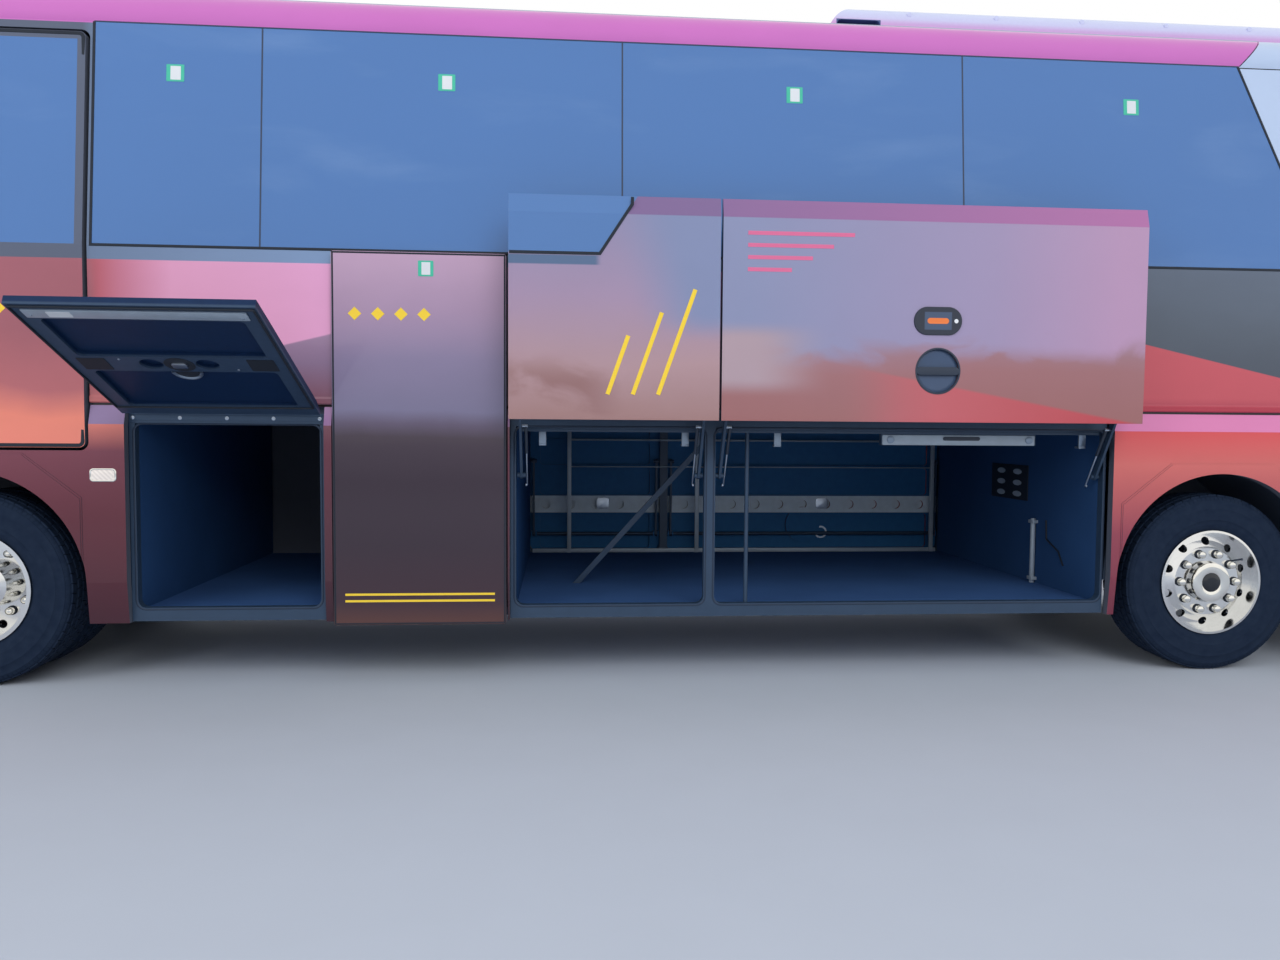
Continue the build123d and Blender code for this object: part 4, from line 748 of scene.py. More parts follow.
def seat_fabric(name):
    """Woven moquette with small scattered flecks."""
    f = Finish(name)
    warp, weft = f.waves("Y", 160.0), f.waves("Z", 160.0)
    cells = f.node("ShaderNodeTexVoronoi", None, {"Vector": f.point, "Scale": 34.0}, "Distance")
    colour = f.mix(1 - f.step(cells, 0.10, 0.20), srgb(58, 66, 98), srgb(150, 84, 104))
    colour = f.tint(colour, 0.25, warp * weft)
    normal = f.bump(warp * weft + f.noise(60.0, 3.0) * 0.5, 0.4, 0.0012)
    return f.done(f.surface(colour, 0.92, 0.0, normal, Sheen_Weight=0.3, Sheen_Roughness=0.4))


def lamp_lens(colour, glow=0.0):
    """A maker for a ribbed lamp lens."""
    def make(name):
        f = Finish(name)
        ribs = f.waves("DIAGONAL", 26.0)
        shade = f.tint(colour, 0.2, ribs)
        glass = {"coat": 1.0, "Emission_Color": shade, "Emission_Strength": glow}
        return f.done(f.surface(shade, 0.12, 0.0, f.bump(ribs, 0.3, 0.002), **glass))
    return make


MAKERS = {
    "side_right_paint": side_paint(-1),
    "side_left_paint": side_paint(1),
    "front_cap_paint": front_cap_paint,
    "rear_cap_paint": rear_cap_paint,
    "left_flap_paint": left_flap_paint,
    "roof_paint": roof_paint,
    "pod_paint": pod_paint,
    "flap_one_paint": flap_paint(flap_one_field),
    "flap_two_paint": flap_paint(flap_two_field),
    "mid_door_paint": mid_door_paint,
    "high_door_paint": high_door_paint,
    "front_door_paint": front_door_paint,
    "small_flap_finish": small_flap_finish,
    "window_glass": window_glass,
    "clear_glass": clear_glass,
    "trim_rubber": plain(RUBBER, 0.6, grain=300.0),
    "window_seal": plain(srgb(38, 56, 84), 0.35, coat=0.3),
    "tyre_rubber": tyre_finish,
    "polished_alloy": polished(srgb(230, 230, 228), 0.12),
    "chrome": polished(srgb(242, 240, 232), 0.06),
    "hub_black": plain(srgb(16, 22, 32), 0.25, coat=0.3),
    "brushed_aluminium": polished(srgb(176, 188, 204), 0.32),
    "dark_plastic": plain(srgb(44, 54, 70), 0.45, grain=260.0, strength=0.2),
    "slate_plastic": plain(srgb(64, 82, 110), 0.4, grain=260.0, strength=0.2),
    "chassis_black": plain(srgb(42, 50, 62), 0.55, 0.2, grain=90.0, strength=0.3, spread=0.4),
    "frame_steel": plain(srgb(50, 70, 94), 0.45, 0.2, grain=120.0, strength=0.2, spread=0.3),
    "pale_steel": plain(srgb(166, 180, 194), 0.42, 0.2, grain=120.0, strength=0.2, spread=0.3),
    "mouth_rubber": plain(srgb(30, 46, 68), 0.5, grain=300.0),
    "galvanised": plain(srgb(134, 150, 170), 0.38, 0.7, grain=60.0, strength=0.2, spread=0.3),
    "cast_iron": plain(srgb(88, 92, 98), 0.65, 0.5, grain=50.0, strength=0.5, spread=0.4),
    "bay_lining": bay_lining,
    "cabin_covering": cabin_covering,
    "seat_fabric": seat_fabric,
    "seat_shell": plain(srgb(96, 104, 122), 0.5, grain=200.0),
    "headlamp_lens": lamp_lens(srgb(220, 228, 238)),
    "tail_lens": lamp_lens(srgb(176, 30, 40)),
    "amber_lens": lamp_lens(srgb(236, 128, 60), 0.3),
    "marker_lens": lamp_lens(srgb(232, 222, 214), 0.2),
    "yellow_film": plain(srgb(250, 212, 52), 0.35, grain=300.0, strength=0.05, spread=0.06, coat=0.3),
    "pink_film": plain(srgb(222, 106, 150), 0.35, grain=300.0, strength=0.05, spread=0.06, coat=0.3),
    "green_film": plain(srgb(70, 190, 160), 0.4, grain=300.0, strength=0.05, spread=0.1),
    "blank_plate": plain(srgb(222, 226, 230), 0.4, grain=300.0, strength=0.05, spread=0.06),
    "mirror_glass": polished(srgb(206, 214, 224), 0.02),
}


def finish(name):
    """The finish of that name, made at its first use."""
    own = f"coach_{name}"
    return bpy.data.materials.get(own) or MAKERS[name](own)


class Shape:
    """Faces gathered into one mesh."""

    def __init__(self):
        self.points = []
        self.faces = []

    def loft(self, rings, closed=False):
        """A skin through rings of points, capped at both ends unless it closes on itself."""
        first = len(self.points)
        size = len(rings[0])
        for ring in rings:
            self.points.extend(ring)
        for r in range(len(rings) if closed else len(rings) - 1):
            a = first + r * size
            b = first + (r + 1) % len(rings) * size
            for k in range(size):
                n = (k + 1) % size
                self.faces.append((a + k, a + n, b + n, b + k))
        if not closed:
            last = first + (len(rings) - 1) * size
            self.faces.append(tuple(range(first + size - 1, first - 1, -1)))
            self.faces.append(tuple(range(last, last + size)))
        return self

    def sweep(self, path, section, upward, closed=False):
        """A section of (sideways, upward) offsets carried along a path, mitred at its corners."""
        path = [Vector(p) for p in path]
        rings = []
        for k, place in enumerate(path):
            before = path[k - 1] if k or closed else place
            after = path[(k + 1) % len(path)] if closed or k + 1 < len(path) else place
            run_in = (place - before).normalized() if before != place else (after - place).normalized()
            run_out = (after - place).normalized() if after != place else run_in
            tangent = (run_in + run_out).normalized()
            sideways = tangent.cross(Vector(upward)).normalized()
            up = sideways.cross(tangent)
            widen = 1 / max(0.5, tangent.dot(run_out))
            rings.append([place + sideways * (a * widen) + up * b for a, b in section])
        return self.loft(rings, closed)

    def trace(self, outline, carry, section, facing, closed=False, out=0.0):
        """A section swept along an (x, z) outline that is laid on a surface."""
        return self.sweep([carry(x, z, out) for x, z in outline], section, facing, closed)

    def plate(self, outline, carry, low, high):
        """A plate with an (x, z) outline, laid on a surface from one distance to another."""
        return self.loft([[carry(x, z, low) for x, z in outline], [carry(x, z, high) for x, z in outline]])

    def turned(self, profile, centre, axis, sides=32, closed=False):
        """A turned form from (distance along the axis, radius) points."""
        axis = Vector(axis).normalized()
        one = axis.orthogonal().normalized()
        two = axis.cross(one)
        spin = [2 * math.pi * k / sides for k in range(sides)]
        spokes = [one * math.cos(a) + two * math.sin(a) for a in spin]
        rings = []
        for along, radius in profile:
            rings.append([Vector(centre) + axis * along + spoke * radius for spoke in spokes])
        return self.loft(rings, closed)

    def rod(self, start, end, radius, sides=12):
        start, end = Vector(start), Vector(end)
        return self.turned(((0.0, radius), ((end - start).length, radius)), start, end - start, sides)

    def block(self, low, high):
        low, high = Vector(low), Vector(high)
        ring = [(low.x, low.y), (high.x, low.y), (high.x, high.y), (low.x, high.y)]
        return self.loft([[Vector((x, y, z)) for x, y in ring] for z in (low.z, high.z)])

    def beam(self, x0, x1, y, half, z0, z1):
        """A block of some half width about a line along the coach."""
        return self.block((x0, y - half, z0), (x1, y + half, z1))


def strip(width, low, high):
    """A flat strip's section with eased upper edges."""
    half = width / 2
    ease = min(width, high - low) * 0.25
    top = high - ease
    return [(-half, low), (half, low), (half, top), (half - ease, high), (ease - half, high), (-half, top)]


def bead(radius, sides=8):
    """A round bead's section."""
    turn = 2 * math.pi / sides
    return [(radius * math.cos(k * turn), radius * math.sin(k * turn)) for k in range(sides)]


def rounded(x0, z0, x1, z1, r, steps=5):
    """The (x, z) outline of a rectangle with rounded corners."""
    points = []
    corners = ((x1 - r, z0 + r), (x1 - r, z1 - r), (x0 + r, z1 - r), (x0 + r, z0 + r))
    for quarter, (cx, cz) in enumerate(corners):
        for k in range(steps + 1):
            turn = math.radians(90 * quarter - 90 + 90 * k / steps)
            points.append((cx + r * math.cos(turn), cz + r * math.sin(turn)))
    return points


def surface_of(*names):
    """A tree that finds places on the skin of some CAD nodes."""
    points, faces = [], []
    for name in names:
        mesh = NODES[name].data
        first = len(points)
        points.extend(v.co.copy() for v in mesh.vertices)
        faces.extend(tuple(first + k for k in face.vertices) for face in mesh.polygons)
    return BVHTree.FromPolygons(points, faces)


def over(tree, side):
    """Carries (x, z) and a distance outwards onto the skin that a level ray meets from one side."""
    def carry(x, z, out=0.0):
        hit = tree.ray_cast(Vector((x, side * 4.0, z)), Vector((0, -side, 0)))
        return hit[0] + hit[1] * out
    return carry


def built(shape, bevel=0.0):
    """A mesh from gathered faces, with its doubles merged and its faces outwards."""
    work = bmesh.new()
    corners = [work.verts.new(p) for p in shape.points]
    for face in shape.faces:
        work.faces.new([corners[k] for k in face])
    bmesh.ops.remove_doubles(work, verts=work.verts, dist=1e-6)
    bmesh.ops.recalc_face_normals(work, faces=work.faces)
    if bevel:
        sharp = [e for e in work.edges if e.is_manifold and e.calc_face_angle(0.0) > 0.6]
        bmesh.ops.bevel(work, geom=sharp, offset=bevel, segments=2, affect="EDGES", profile=0.6)
    mesh = bpy.data.meshes.new("form")
    work.to_mesh(mesh)
    work.free()
    return mesh


def piece(name, shape, coat, body="root", bevel=0.0, smooth=40.0, slot=None):
    """A finished piece from gathered faces, riding on a body."""
    return placed(name, built(shape, bevel), coat, body, smooth, slot)


def placed(name, mesh, coat, body, smooth=40.0, slot=None):
    """A mesh made into a piece that rides on a body."""
    mesh.name = name
    mesh.materials.clear()
    mesh.materials.append(finish(coat))
    mesh.shade_smooth()
    mesh.set_sharp_from_angle(angle=math.radians(smooth))
    made = bpy.data.objects.new(name, mesh)
    bpy.context.scene.collection.objects.link(made)
    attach(made, body)
    return made


def repeat_tree():
    """Nodes that repeat a form along a row or round a ring, and realise it."""
    tree = bpy.data.node_groups.get("Repeat A Form")
    if tree:
        return tree
    tree = bpy.data.node_groups.new("Repeat A Form", "GeometryNodeTree")
    for name, kind in (
        ("Geometry", "Geometry"), ("Count", "Int"), ("Step", "Vector"), ("Turn", "Vector"),
        ("Centre", "Vector"), ("Finish", "Material"),
    ):
        tree.interface.new_socket(name, in_out="INPUT", socket_type="NodeSocket" + kind)
    tree.interface.new_socket("Geometry", in_out="OUTPUT", socket_type="NodeSocketGeometry")
    add = tree.nodes.new
    given = add("NodeGroupInput")
    line = add("GeometryNodeMeshLine")
    line.mode = "OFFSET"
    instance = add("GeometryNodeInstanceOnPoints")
    index = add("GeometryNodeInputIndex")
    scaled = add("ShaderNodeVectorMath")
    scaled.operation = "SCALE"
    turn = add("FunctionNodeEulerToRotation")
    shift = add("GeometryNodeTransform")
    back = add("ShaderNodeVectorMath")
    back.operation = "SCALE"
    back.inputs[3].default_value = -1.0
    real = add("GeometryNodeRealizeInstances")
    coat = add("GeometryNodeSetMaterial")
    home = add("GeometryNodeTransform")
    result = add("NodeGroupOutput")
    for source, output, target, given_to in (
        (given, "Centre", back, 0),
        (given, "Geometry", shift, "Geometry"),
        (back, 0, shift, "Translation"),
        (given, "Count", line, "Count"),
        (given, "Step", line, "Offset"),
        (line, "Mesh", instance, "Points"),
        (shift, "Geometry", instance, "Instance"),
        (given, "Turn", scaled, 0),
        (index, 0, scaled, 3),
        (scaled, 0, turn, 0),
        (turn, 0, instance, "Rotation"),
        (instance, 0, real, 0),
        (real, 0, coat, "Geometry"),
        (given, "Finish", coat, "Material"),
        (coat, 0, home, "Geometry"),
        (given, "Centre", home, "Translation"),
        (home, "Geometry", result, 0),
    ):
        tree.links.new(source.outputs[output], target.inputs[given_to])
    return tree


def repeated(name, form, coat, body, count, step=(0, 0, 0), turn=(0, 0, 0), centre=(0, 0, 0), slot=None):
    """A form repeated by Geometry Nodes: stepped along a row, or turned about a centre."""
    seed = placed(name + "_seed", built(form), coat, body)
    tree = repeat_tree()
    modifier = seed.modifiers.new("Repeat", "NODES")
    modifier.node_group = tree
    sizes = {"Count": count, "Step": step, "Turn": turn, "Centre": centre, "Finish": finish(coat)}
    for item in tree.interface.items_tree:
        if item.in_out == "INPUT" and item.name in sizes:
            modifier[item.identifier] = sizes[item.name]
    mesh = bpy.data.meshes.new_from_object(seed.evaluated_get(bpy.context.evaluated_depsgraph_get()))
    bpy.data.objects.remove(seed)
    return placed(name, mesh, coat, body, slot=slot)


def ringed(name, form, coat, body, count, centre, slot=None):
    """A form repeated round a wheel's axis."""
    turn = (0.0, 2 * math.pi / count, 0.0)
    return repeated(name, form, coat, body, count, turn=turn, centre=centre, slot=slot)


def merged(name, parts, coat, body, slot=None):
    """Several repeated pieces made one."""
    work = bmesh.new()
    for part in parts:
        work.from_mesh(part.data)
        bpy.data.objects.remove(part)
    mesh = bpy.data.meshes.new(name)
    work.to_mesh(mesh)
    work.free()
    return placed(name, mesh, coat, body, slot=slot)


def dress(name, coat):
    """Gives a CAD node a finish."""
    for place in NODES[name].material_slots:
        place.link = "OBJECT"
        place.material = finish(coat)


FINISHED_NODES = {
    "side_right_paint": "side_wall_right",
    "side_left_paint": "side_wall_left",
    "roof_paint": "roof_shell",
    "front_cap_paint": "front_cap",
    "rear_cap_paint": "rear_cap engine_lid",
    "pod_paint": "roof_pod",
    "clear_glass": "windscreen driver_window door_front_glass",
    "window_glass": "rear_window side_glass_right quarter_glass_right side_glass_left door_high_glass",
    "front_door_paint": "door_front",
    "mid_door_paint": "door_mid",
    "high_door_paint": "door_high",
    "small_flap_finish": "flap_rear_right",
    "flap_one_paint": "flap_right_1",
    "flap_two_paint": "flap_right_2",
    "left_flap_paint": "flap_left_1 flap_left_2",
    "cabin_covering": "cabin_floor",
    "bay_lining": "bay_floor",
    "cast_iron": "engine_block",
    "seat_fabric": "seats_right seats_left driver_seat",
    "polished_alloy": "rim_front_right rim_front_left rims_rear_right rims_rear_left",
    "frame_steel": """
        bay_frame_right bay_frame_left bay_frame_small bay_brace
        arms_right_1 arms_right_2 arms_left_1 arms_left_2
    """,
    "chassis_black": "front_rails rear_rails front_axle rear_axle knuckle_right knuckle_left",
    "dark_plastic": """
        roof_hatch wheel_housing_front wheel_housing_rear mirror_right mirror_left dashboard steering_wheel
    """,
    "tyre_rubber": """
        tyre_front_right tyre_front_left tyre_rear_right_outer tyre_rear_right_inner
        tyre_rear_left_outer tyre_rear_left_inner
    """,
}


class CoachWheelSizes(bpy.types.PropertyGroup):
    tread_blocks: bpy.props.IntProperty(
        name="Tread blocks", description="Blocks in each rib of the tread", default=60, min=12
    )
    nut_width: bpy.props.FloatProperty(
        name="Nut width", description="Width of the bright cap over a wheel nut", default=0.042, unit="LENGTH"
    )


class CoachTrimSizes(bpy.types.PropertyGroup):
    seal_width: bpy.props.FloatProperty(
        name="Seal width", description="Width of the rubber round a door", default=0.014, unit="LENGTH"
    )
    joint_width: bpy.props.FloatProperty(
        name="Glass joint", description="Width of a joint between panes", default=0.010, unit="LENGTH"
    )


class CoachSeatSizes(bpy.types.PropertyGroup):
    seat_swell: bpy.props.FloatProperty(
        name="Cushion crown", description="How far a cushion may swell from its plain form", default=0.026,
        unit="LENGTH",
    )


class COACH_OT_stage(bpy.types.Operator):
    """Set the floor, the studio light and the camera"""

    bl_idname = "coach.stage"
    bl_label = "Camera and Stage"

    def execute(self, context):
        yaw, pitch, roll = (math.radians(angle) for angle in CAMERA_TURN)
        forward = Vector((math.sin(yaw) * math.cos(pitch), math.cos(yaw) * math.cos(pitch), math.sin(pitch)))
        level = Vector((math.cos(yaw), -math.sin(yaw), 0.0))
        upright = level.cross(forward)
        right = level * math.cos(roll) + upright * math.sin(roll)
        up = upright * math.cos(roll) - level * math.sin(roll)
        lens = bpy.data.cameras.new("View")
        lens.lens = CAMERA_LENS
        lens.sensor_width = 36.0
        lens.clip_end = 300.0
        camera = bpy.data.objects.new("View", lens)
        turn = Matrix((right, up, -forward)).transposed().to_4x4()
        camera.matrix_world = Matrix.Translation(CAMERA_PLACE) @ turn
        context.scene.collection.objects.link(camera)
        context.scene.camera = camera
        context.scene.view_settings.view_transform = "Standard"
        self.world()
        self.floor(context)
        self.lamps(context)
        return {"FINISHED"}

    def world(self):
        """Soft bluish light, and white wherever the surroundings are seen or mirrored."""
        world = bpy.data.worlds.new("Studio")
        bpy.context.scene.world = world
        world.use_nodes = True
        tree = world.node_tree
        tree.nodes.clear()
        path = tree.nodes.new("ShaderNodeLightPath")
        seen = path.outputs["Is Camera Ray"]
        for ray in ("Is Transmission Ray", "Is Glossy Ray"):
            either = tree.nodes.new("ShaderNodeMath")
            either.operation = "MAXIMUM"
            tree.links.new(seen, either.inputs[0])
            tree.links.new(path.outputs[ray], either.inputs[1])
            seen = either.outputs[0]
        mix = tree.nodes.new("ShaderNodeMixShader")
        tree.links.new(seen, mix.inputs[0])
        for place, colour, strength in ((1, (0.92, 0.95, 1.0, 1.0), 0.62), (2, (1.0, 1.0, 1.0, 1.0), 1.0)):
            light = tree.nodes.new("ShaderNodeBackground")
            light.inputs[0].default_value = colour
            light.inputs[1].default_value = strength
            tree.links.new(light.outputs[0], mix.inputs[place])
        out = tree.nodes.new("ShaderNodeOutputWorld")
        tree.links.new(mix.outputs[0], out.inputs[0])

    def floor(self, context):
        shape = Shape().turned(((-0.02, 90.0), (0.0, 90.0)), (0.0, 0.0, 0.0), (0, 0, 1), 96)
        f = Finish("studio_floor")
        grey = f.tint(srgb(196, 204, 216), 0.05, f.noise(3.0, 5.0))
        material = f.done(f.surface(grey, 0.75, 0.0, f.bump(f.noise(40.0, 4.0), 0.05, 0.002)))
        mesh = bpy.data.meshes.new("studio_floor")
        mesh.from_pydata(shape.points, [], shape.faces)
        mesh.materials.append(material)
        ground = bpy.data.objects.new("studio_floor", mesh)
        context.scene.collection.objects.link(ground)

    def lamps(self, context):
        for name, place, aim, size, power in (
            ("key_lamp", (3.0, -14.0, 9.0), (0.0, 0.0, 1.5), 10.0, 900.0),
            ("fill_lamp", (-10.0, -9.0, 6.0), (-1.0, 0.0, 1.5), 8.0, 350.0),
            ("back_lamp", (0.0, 14.0, 9.0), (0.0, 0.0, 2.0), 10.0, 700.0),
        ):
            light = bpy.data.lights.new(name, "AREA")
            light.shape = "DISK"
            light.size = size
            light.energy = power
            lamp = bpy.data.objects.new(name, light)
            lamp.location = place
            lamp.visible_glossy = False
            lamp.rotation_euler = (Vector(place) - Vector(aim)).to_track_quat("Z", "Y").to_euler()
            context.scene.collection.objects.link(lamp)


class COACH_OT_finishes(bpy.types.Operator):
    """Give every carried-over part its paint, glass, rubber or metal"""

    bl_idname = "coach.finishes"
    bl_label = "Paint and Materials"

    def execute(self, context):
        for coat, names in FINISHED_NODES.items():
            for name in names.split():
                dress(name, coat)
        return {"FINISHED"}


# Half width and radius of the tyre's carcass from one bead round to the other
CARCASS = (
    (0.1040, 0.2940), (0.1160, 0.3000), (0.1280, 0.3120), (0.1360, 0.3300), (0.1370, 0.3340),
    (0.1400, 0.3400), (0.1400, 0.3440), (0.1425, 0.3640), (0.1445, 0.3660), (0.1445, 0.3700),
    (0.1455, 0.3900), (0.1462, 0.4100), (0.1455, 0.4260), (0.1462, 0.4280), (0.1462, 0.4320),
    (0.1445, 0.4340), (0.1420, 0.4560), (0.1395, 0.4720), (0.1400, 0.4740), (0.1385, 0.4790),
    (0.1365, 0.4800), (0.1320, 0.4930), (0.1240, 0.5020), (0.1150, 0.5035), (0.0800, 0.5035),
    (0.0400, 0.5040),
)
BEAD_SEAT = ((-0.1000, 0.2945), (0.1000, 0.2945))
RIBS = ((-0.122, -0.078), (-0.068, -0.028), (-0.020, 0.020), (0.028, 0.068), (0.078, 0.122))
TYRES = (
    ("tyre_front_right", FRONT_AXLE_X, -WHEEL_Y, "wheel_fr"),
    ("tyre_front_left", FRONT_AXLE_X, WHEEL_Y, "wheel_fl"),
    ("tyre_rear_right_outer", REAR_AXLE_X, -WHEEL_Y, "wheel_rr"),
    ("tyre_rear_right_inner", REAR_AXLE_X, TWIN_GAP - WHEEL_Y, "wheel_rr"),
    ("tyre_rear_left_outer", REAR_AXLE_X, WHEEL_Y, "wheel_rl"),
    ("tyre_rear_left_inner", REAR_AXLE_X, WHEEL_Y - TWIN_GAP, "wheel_rl"),
)


class COACH_OT_tyres(bpy.types.Operator):
    """Build the six tyres with ribbed treads and mould rings"""

    bl_idname = "coach.tyres"
    bl_label = "Tyres"

    def execute(self, context):
        count = context.scene.coach_wheels.tread_blocks
        loop = [*CARCASS, *((-a, r) for a, r in reversed(CARCASS)), *BEAD_SEAT]
        for node, x, y, body in TYRES:
            centre = Vector((x, y, WHEEL_Z))
            carcass = Shape().turned(loop, centre, (0, 1, 0), 96, True)
            parts = [piece(node + "_carcass", carcass, "tyre_rubber", body)]
            for k, rib in enumerate(RIBS):
                parts.append(self.rib(f"{node}_rib_{k}", k % 2, rib, centre, body, count))
            for side in (1, -1):
                parts.append(self.serration(f"{node}_bars_{side}", centre, body, side))
            tyre = merged(node + "_dressed", parts, "tyre_rubber", body, "tyre_rubber")
            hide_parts(node)
        return {"FINISHED"}

    def rib(self, name, odd, rib, centre, body, count):
        """Blocks of one rib, with slanted ends, turned round the wheel."""
        half = math.pi * WHEEL_R / count * 0.90
        skew = 0.005 if odd else -0.005
        low, high = rib
        middle = (low + high) / 2
        crown = 0.0008 * abs(low + high) / 0.04
        base = [(-half + skew, low), (half + skew, low), (half - skew, high), (-half - skew, high)]
        place = Matrix.Translation(centre) @ Matrix.Rotation(math.pi / count * odd, 4, "Y")
        rings = []
        for radius, ease in ((0.5020, 1.0), (0.5125 - crown, 1.0), (0.5145 - crown, 0.90)):
            ring = [Vector((a * ease, middle + (b - middle) * ease, radius)) for a, b in base]
            rings.append([place @ p for p in ring])
        return ringed(name, Shape().loft(rings), "tyre_rubber", body, count, centre)

    def serration(self, name, centre, body, side):
        """Fine raised bars round the shoulder."""
        rings = []
        for r, y in ((0.4835, 0.1355), (0.4985, 0.1285)):
            foot = [Vector((w, side * (y - 0.004), r - 0.001)) for w in (-0.0022, 0.0022)]
            ridge = [Vector((w, side * (y + 0.0025), r)) for w in (0.00132, -0.00132)]
            rings.append([centre + p for p in foot + ridge])
        return ringed(name, Shape().loft(rings), "tyre_rubber", body, 120, centre)


class COACH_OT_wheels(bpy.types.Operator):
    """Add capped nuts, hub caps and valves to the wheels"""

    bl_idname = "coach.wheels"
    bl_label = "Wheel Fittings"

    def execute(self, context):
        width = context.scene.coach_wheels.nut_width
        for end, x, nuts_out, cap_out, radius in (
            ("front", FRONT_AXLE_X, 0.124, 0.134, 0.112),
            ("rear", REAR_AXLE_X, -0.117, 0.034, 0.058),
        ):
            for hand, side in SIDES:
                tag = f"{end}_{hand}"
                body = f"wheel_{end[0]}{hand[0]}"
                axis = (0, side, 0)
                at = Vector((x, side * (WHEEL_Y + nuts_out), WHEEL_Z))
                self.nuts(tag, at, axis, body, width)
                self.hub_cap(tag, Vector((x, side * (WHEEL_Y + cap_out), WHEEL_Z)), axis, body, radius)
                foot = at + Vector((0.150, side * -0.034, 0.120))
                neck = foot + Vector((0.020, side * 0.050, 0.014))
                tip = neck + Vector((0.004, side * 0.012, 0.003))
                valve = Shape().rod(foot, neck, 0.005, 10).rod(neck, tip, 0.0065, 10)
                piece(f"tyre_valve_{tag}", valve, "dark_plastic", body, 0.001)
        return {"FINISHED"}

    def nuts(self, tag, centre, axis, body, width):
        """Domed caps over the nuts, each standing in a dark ring."""
        at = centre + Vector((NUT_CIRCLE_R, 0, 0))
        dome = ((-0.020, 0.50), (0.000, 0.50), (0.005, 0.46), (0.009, 0.32), (0.011, 0.12))
        cap = Shape().turned([(along, width * part) for along, part in dome], at, axis, 20)
        ringed(f"nut_caps_{tag}", cap, "chrome", body, NUTS, centre, "bright_rim")
        ring = ((-0.033, 0.0262), (-0.027, 0.0262), (-0.024, 0.0240), (-0.024, 0.019), (-0.033, 0.019))
        collar = Shape().turned(ring, at, axis, 24, True)
        ringed(f"nut_collars_{tag}", collar, "trim_rubber", body, NUTS, centre)

    def hub_cap(self, tag, centre, axis, body, radius):
        """A bright dished cover with a bare dark disc in its middle."""
        inner = radius * 0.50
        cover = (
            (-0.002, radius + 0.002), (0.003, radius + 0.001), (0.006, radius - 0.005),
            (0.004, inner + 0.006), (0.002, inner), (-0.002, inner),
        )
        bright = Shape().turned(cover, centre, axis, 48, True)
        piece(f"hub_cover_{tag}", bright, "chrome", body, slot="bright_rim")
        dome = ((-0.004, inner - 0.001), (0.002, inner - 0.001), (0.005, inner - 0.005), (0.006, inner * 0.4))
        disc = Shape().turned(dome, centre, axis, 40)
        piece(f"hub_disc_{tag}", disc, "hub_black", body, slot="dark_plastic")


class COACH_OT_glazing(bpy.types.Operator):
    """Add the window joints, the dark borders and the blank exit signs"""

    bl_idname = "coach.glazing"
    bl_label = "Window Trim"

    def execute(self, context):
        joint = strip(context.scene.coach_trim.joint_width, -0.004, 0.0006)
        border = strip(0.014, -0.004, 0.003)
        for tag, side, joints, rear in (
            ("right", -1, WINDOW_XS, WINDOW_REAR_X),
            ("left", 1, LEFT_WINDOW_XS, LEFT_WINDOW_REAR_X),
        ):
            carry = on_side(side)
            facing = (0, side, 0)
            shape = Shape()
            for x in joints:
                shape.trace([(x, z) for z in (2.318, 2.90, 3.478)], carry, joint, facing)
            piece(f"window_joints_{tag}", shape, "window_seal")
            ends = [(rear, GLASS_TOP_Z), (rear, SILL_Z), (PILLAR_FOOT_X, SILL_Z), (PILLAR_TOP_X, GLASS_TOP_Z)]
            edge = Shape().trace(ends, carry, border, facing)
            if side < 0:
                x0, x1 = QUARTER_XS
                quarter = [(x1, GLASS_TOP_Z), (x1, SILL_Z), (x0, SILL_Z), (x0, GLASS_TOP_Z)]
                edge.trace(quarter, carry, border, facing, True)
            piece(f"window_edge_{tag}", edge, "trim_rubber")
            line = [(rear, GLASS_TOP_Z + 0.002), (PILLAR_TOP_X + 0.004, GLASS_TOP_Z + 0.002)]
            head = Shape().trace(line, carry, strip(0.008, -0.004, 0.002), facing)
            piece(f"window_head_{tag}", head, "window_seal")
            signs, panels = Shape(), Shape()
            for x in (-2.090, -0.690, 1.200, 3.140):
                signs.plate(rounded(x - 0.045, 3.180, x + 0.045, 3.270, 0.004, 2), carry, 0.0002, 0.0012)
                panels.plate(rounded(x - 0.024, 3.189, x + 0.028, 3.261, 0.002, 2), carry, 0.0010, 0.0018)
            piece(f"exit_signs_{tag}", signs, "green_film")
            piece(f"exit_sign_panels_{tag}", panels, "blank_plate")
        self.roof_edges()
        return {"FINISHED"}

    def roof_edges(self):
        """The bright moulding over the cove, and the joints where the silver head begins."""
        skin = surface_of("roof_shell", "front_cap", "rear_cap", "side_wall_right", "side_wall_left")
        seam = strip(0.006, -0.004, 0.001)
        start_x = PILLAR_TOP_X + 0.010
        for tag, side in SIDES:
            carry = over(skin, side)
            facing = (0, side, 0)
            line = [(-6.02 + 0.25 * k, MOULDING_Z) for k in range(41)]
            moulding = Shape().trace(line, carry, bead(0.006), facing, out=0.001)
            piece(f"roof_moulding_{tag}", moulding, "brushed_aluminium")
            slant = [(start_x + 0.027 * k, GLASS_TOP_Z + 0.004 + 0.0285 * k) for k in range(7)]
            brow = [(start_x + 0.22 * k, GLASS_TOP_Z - 0.006) for k in range(8)]
            seams = Shape().trace(slant, carry, seam, facing, out=0.0005)
            seams.trace(brow, carry, seam, facing, out=0.0005)
            piece(f"cap_seams_{tag}", seams, "trim_rubber")


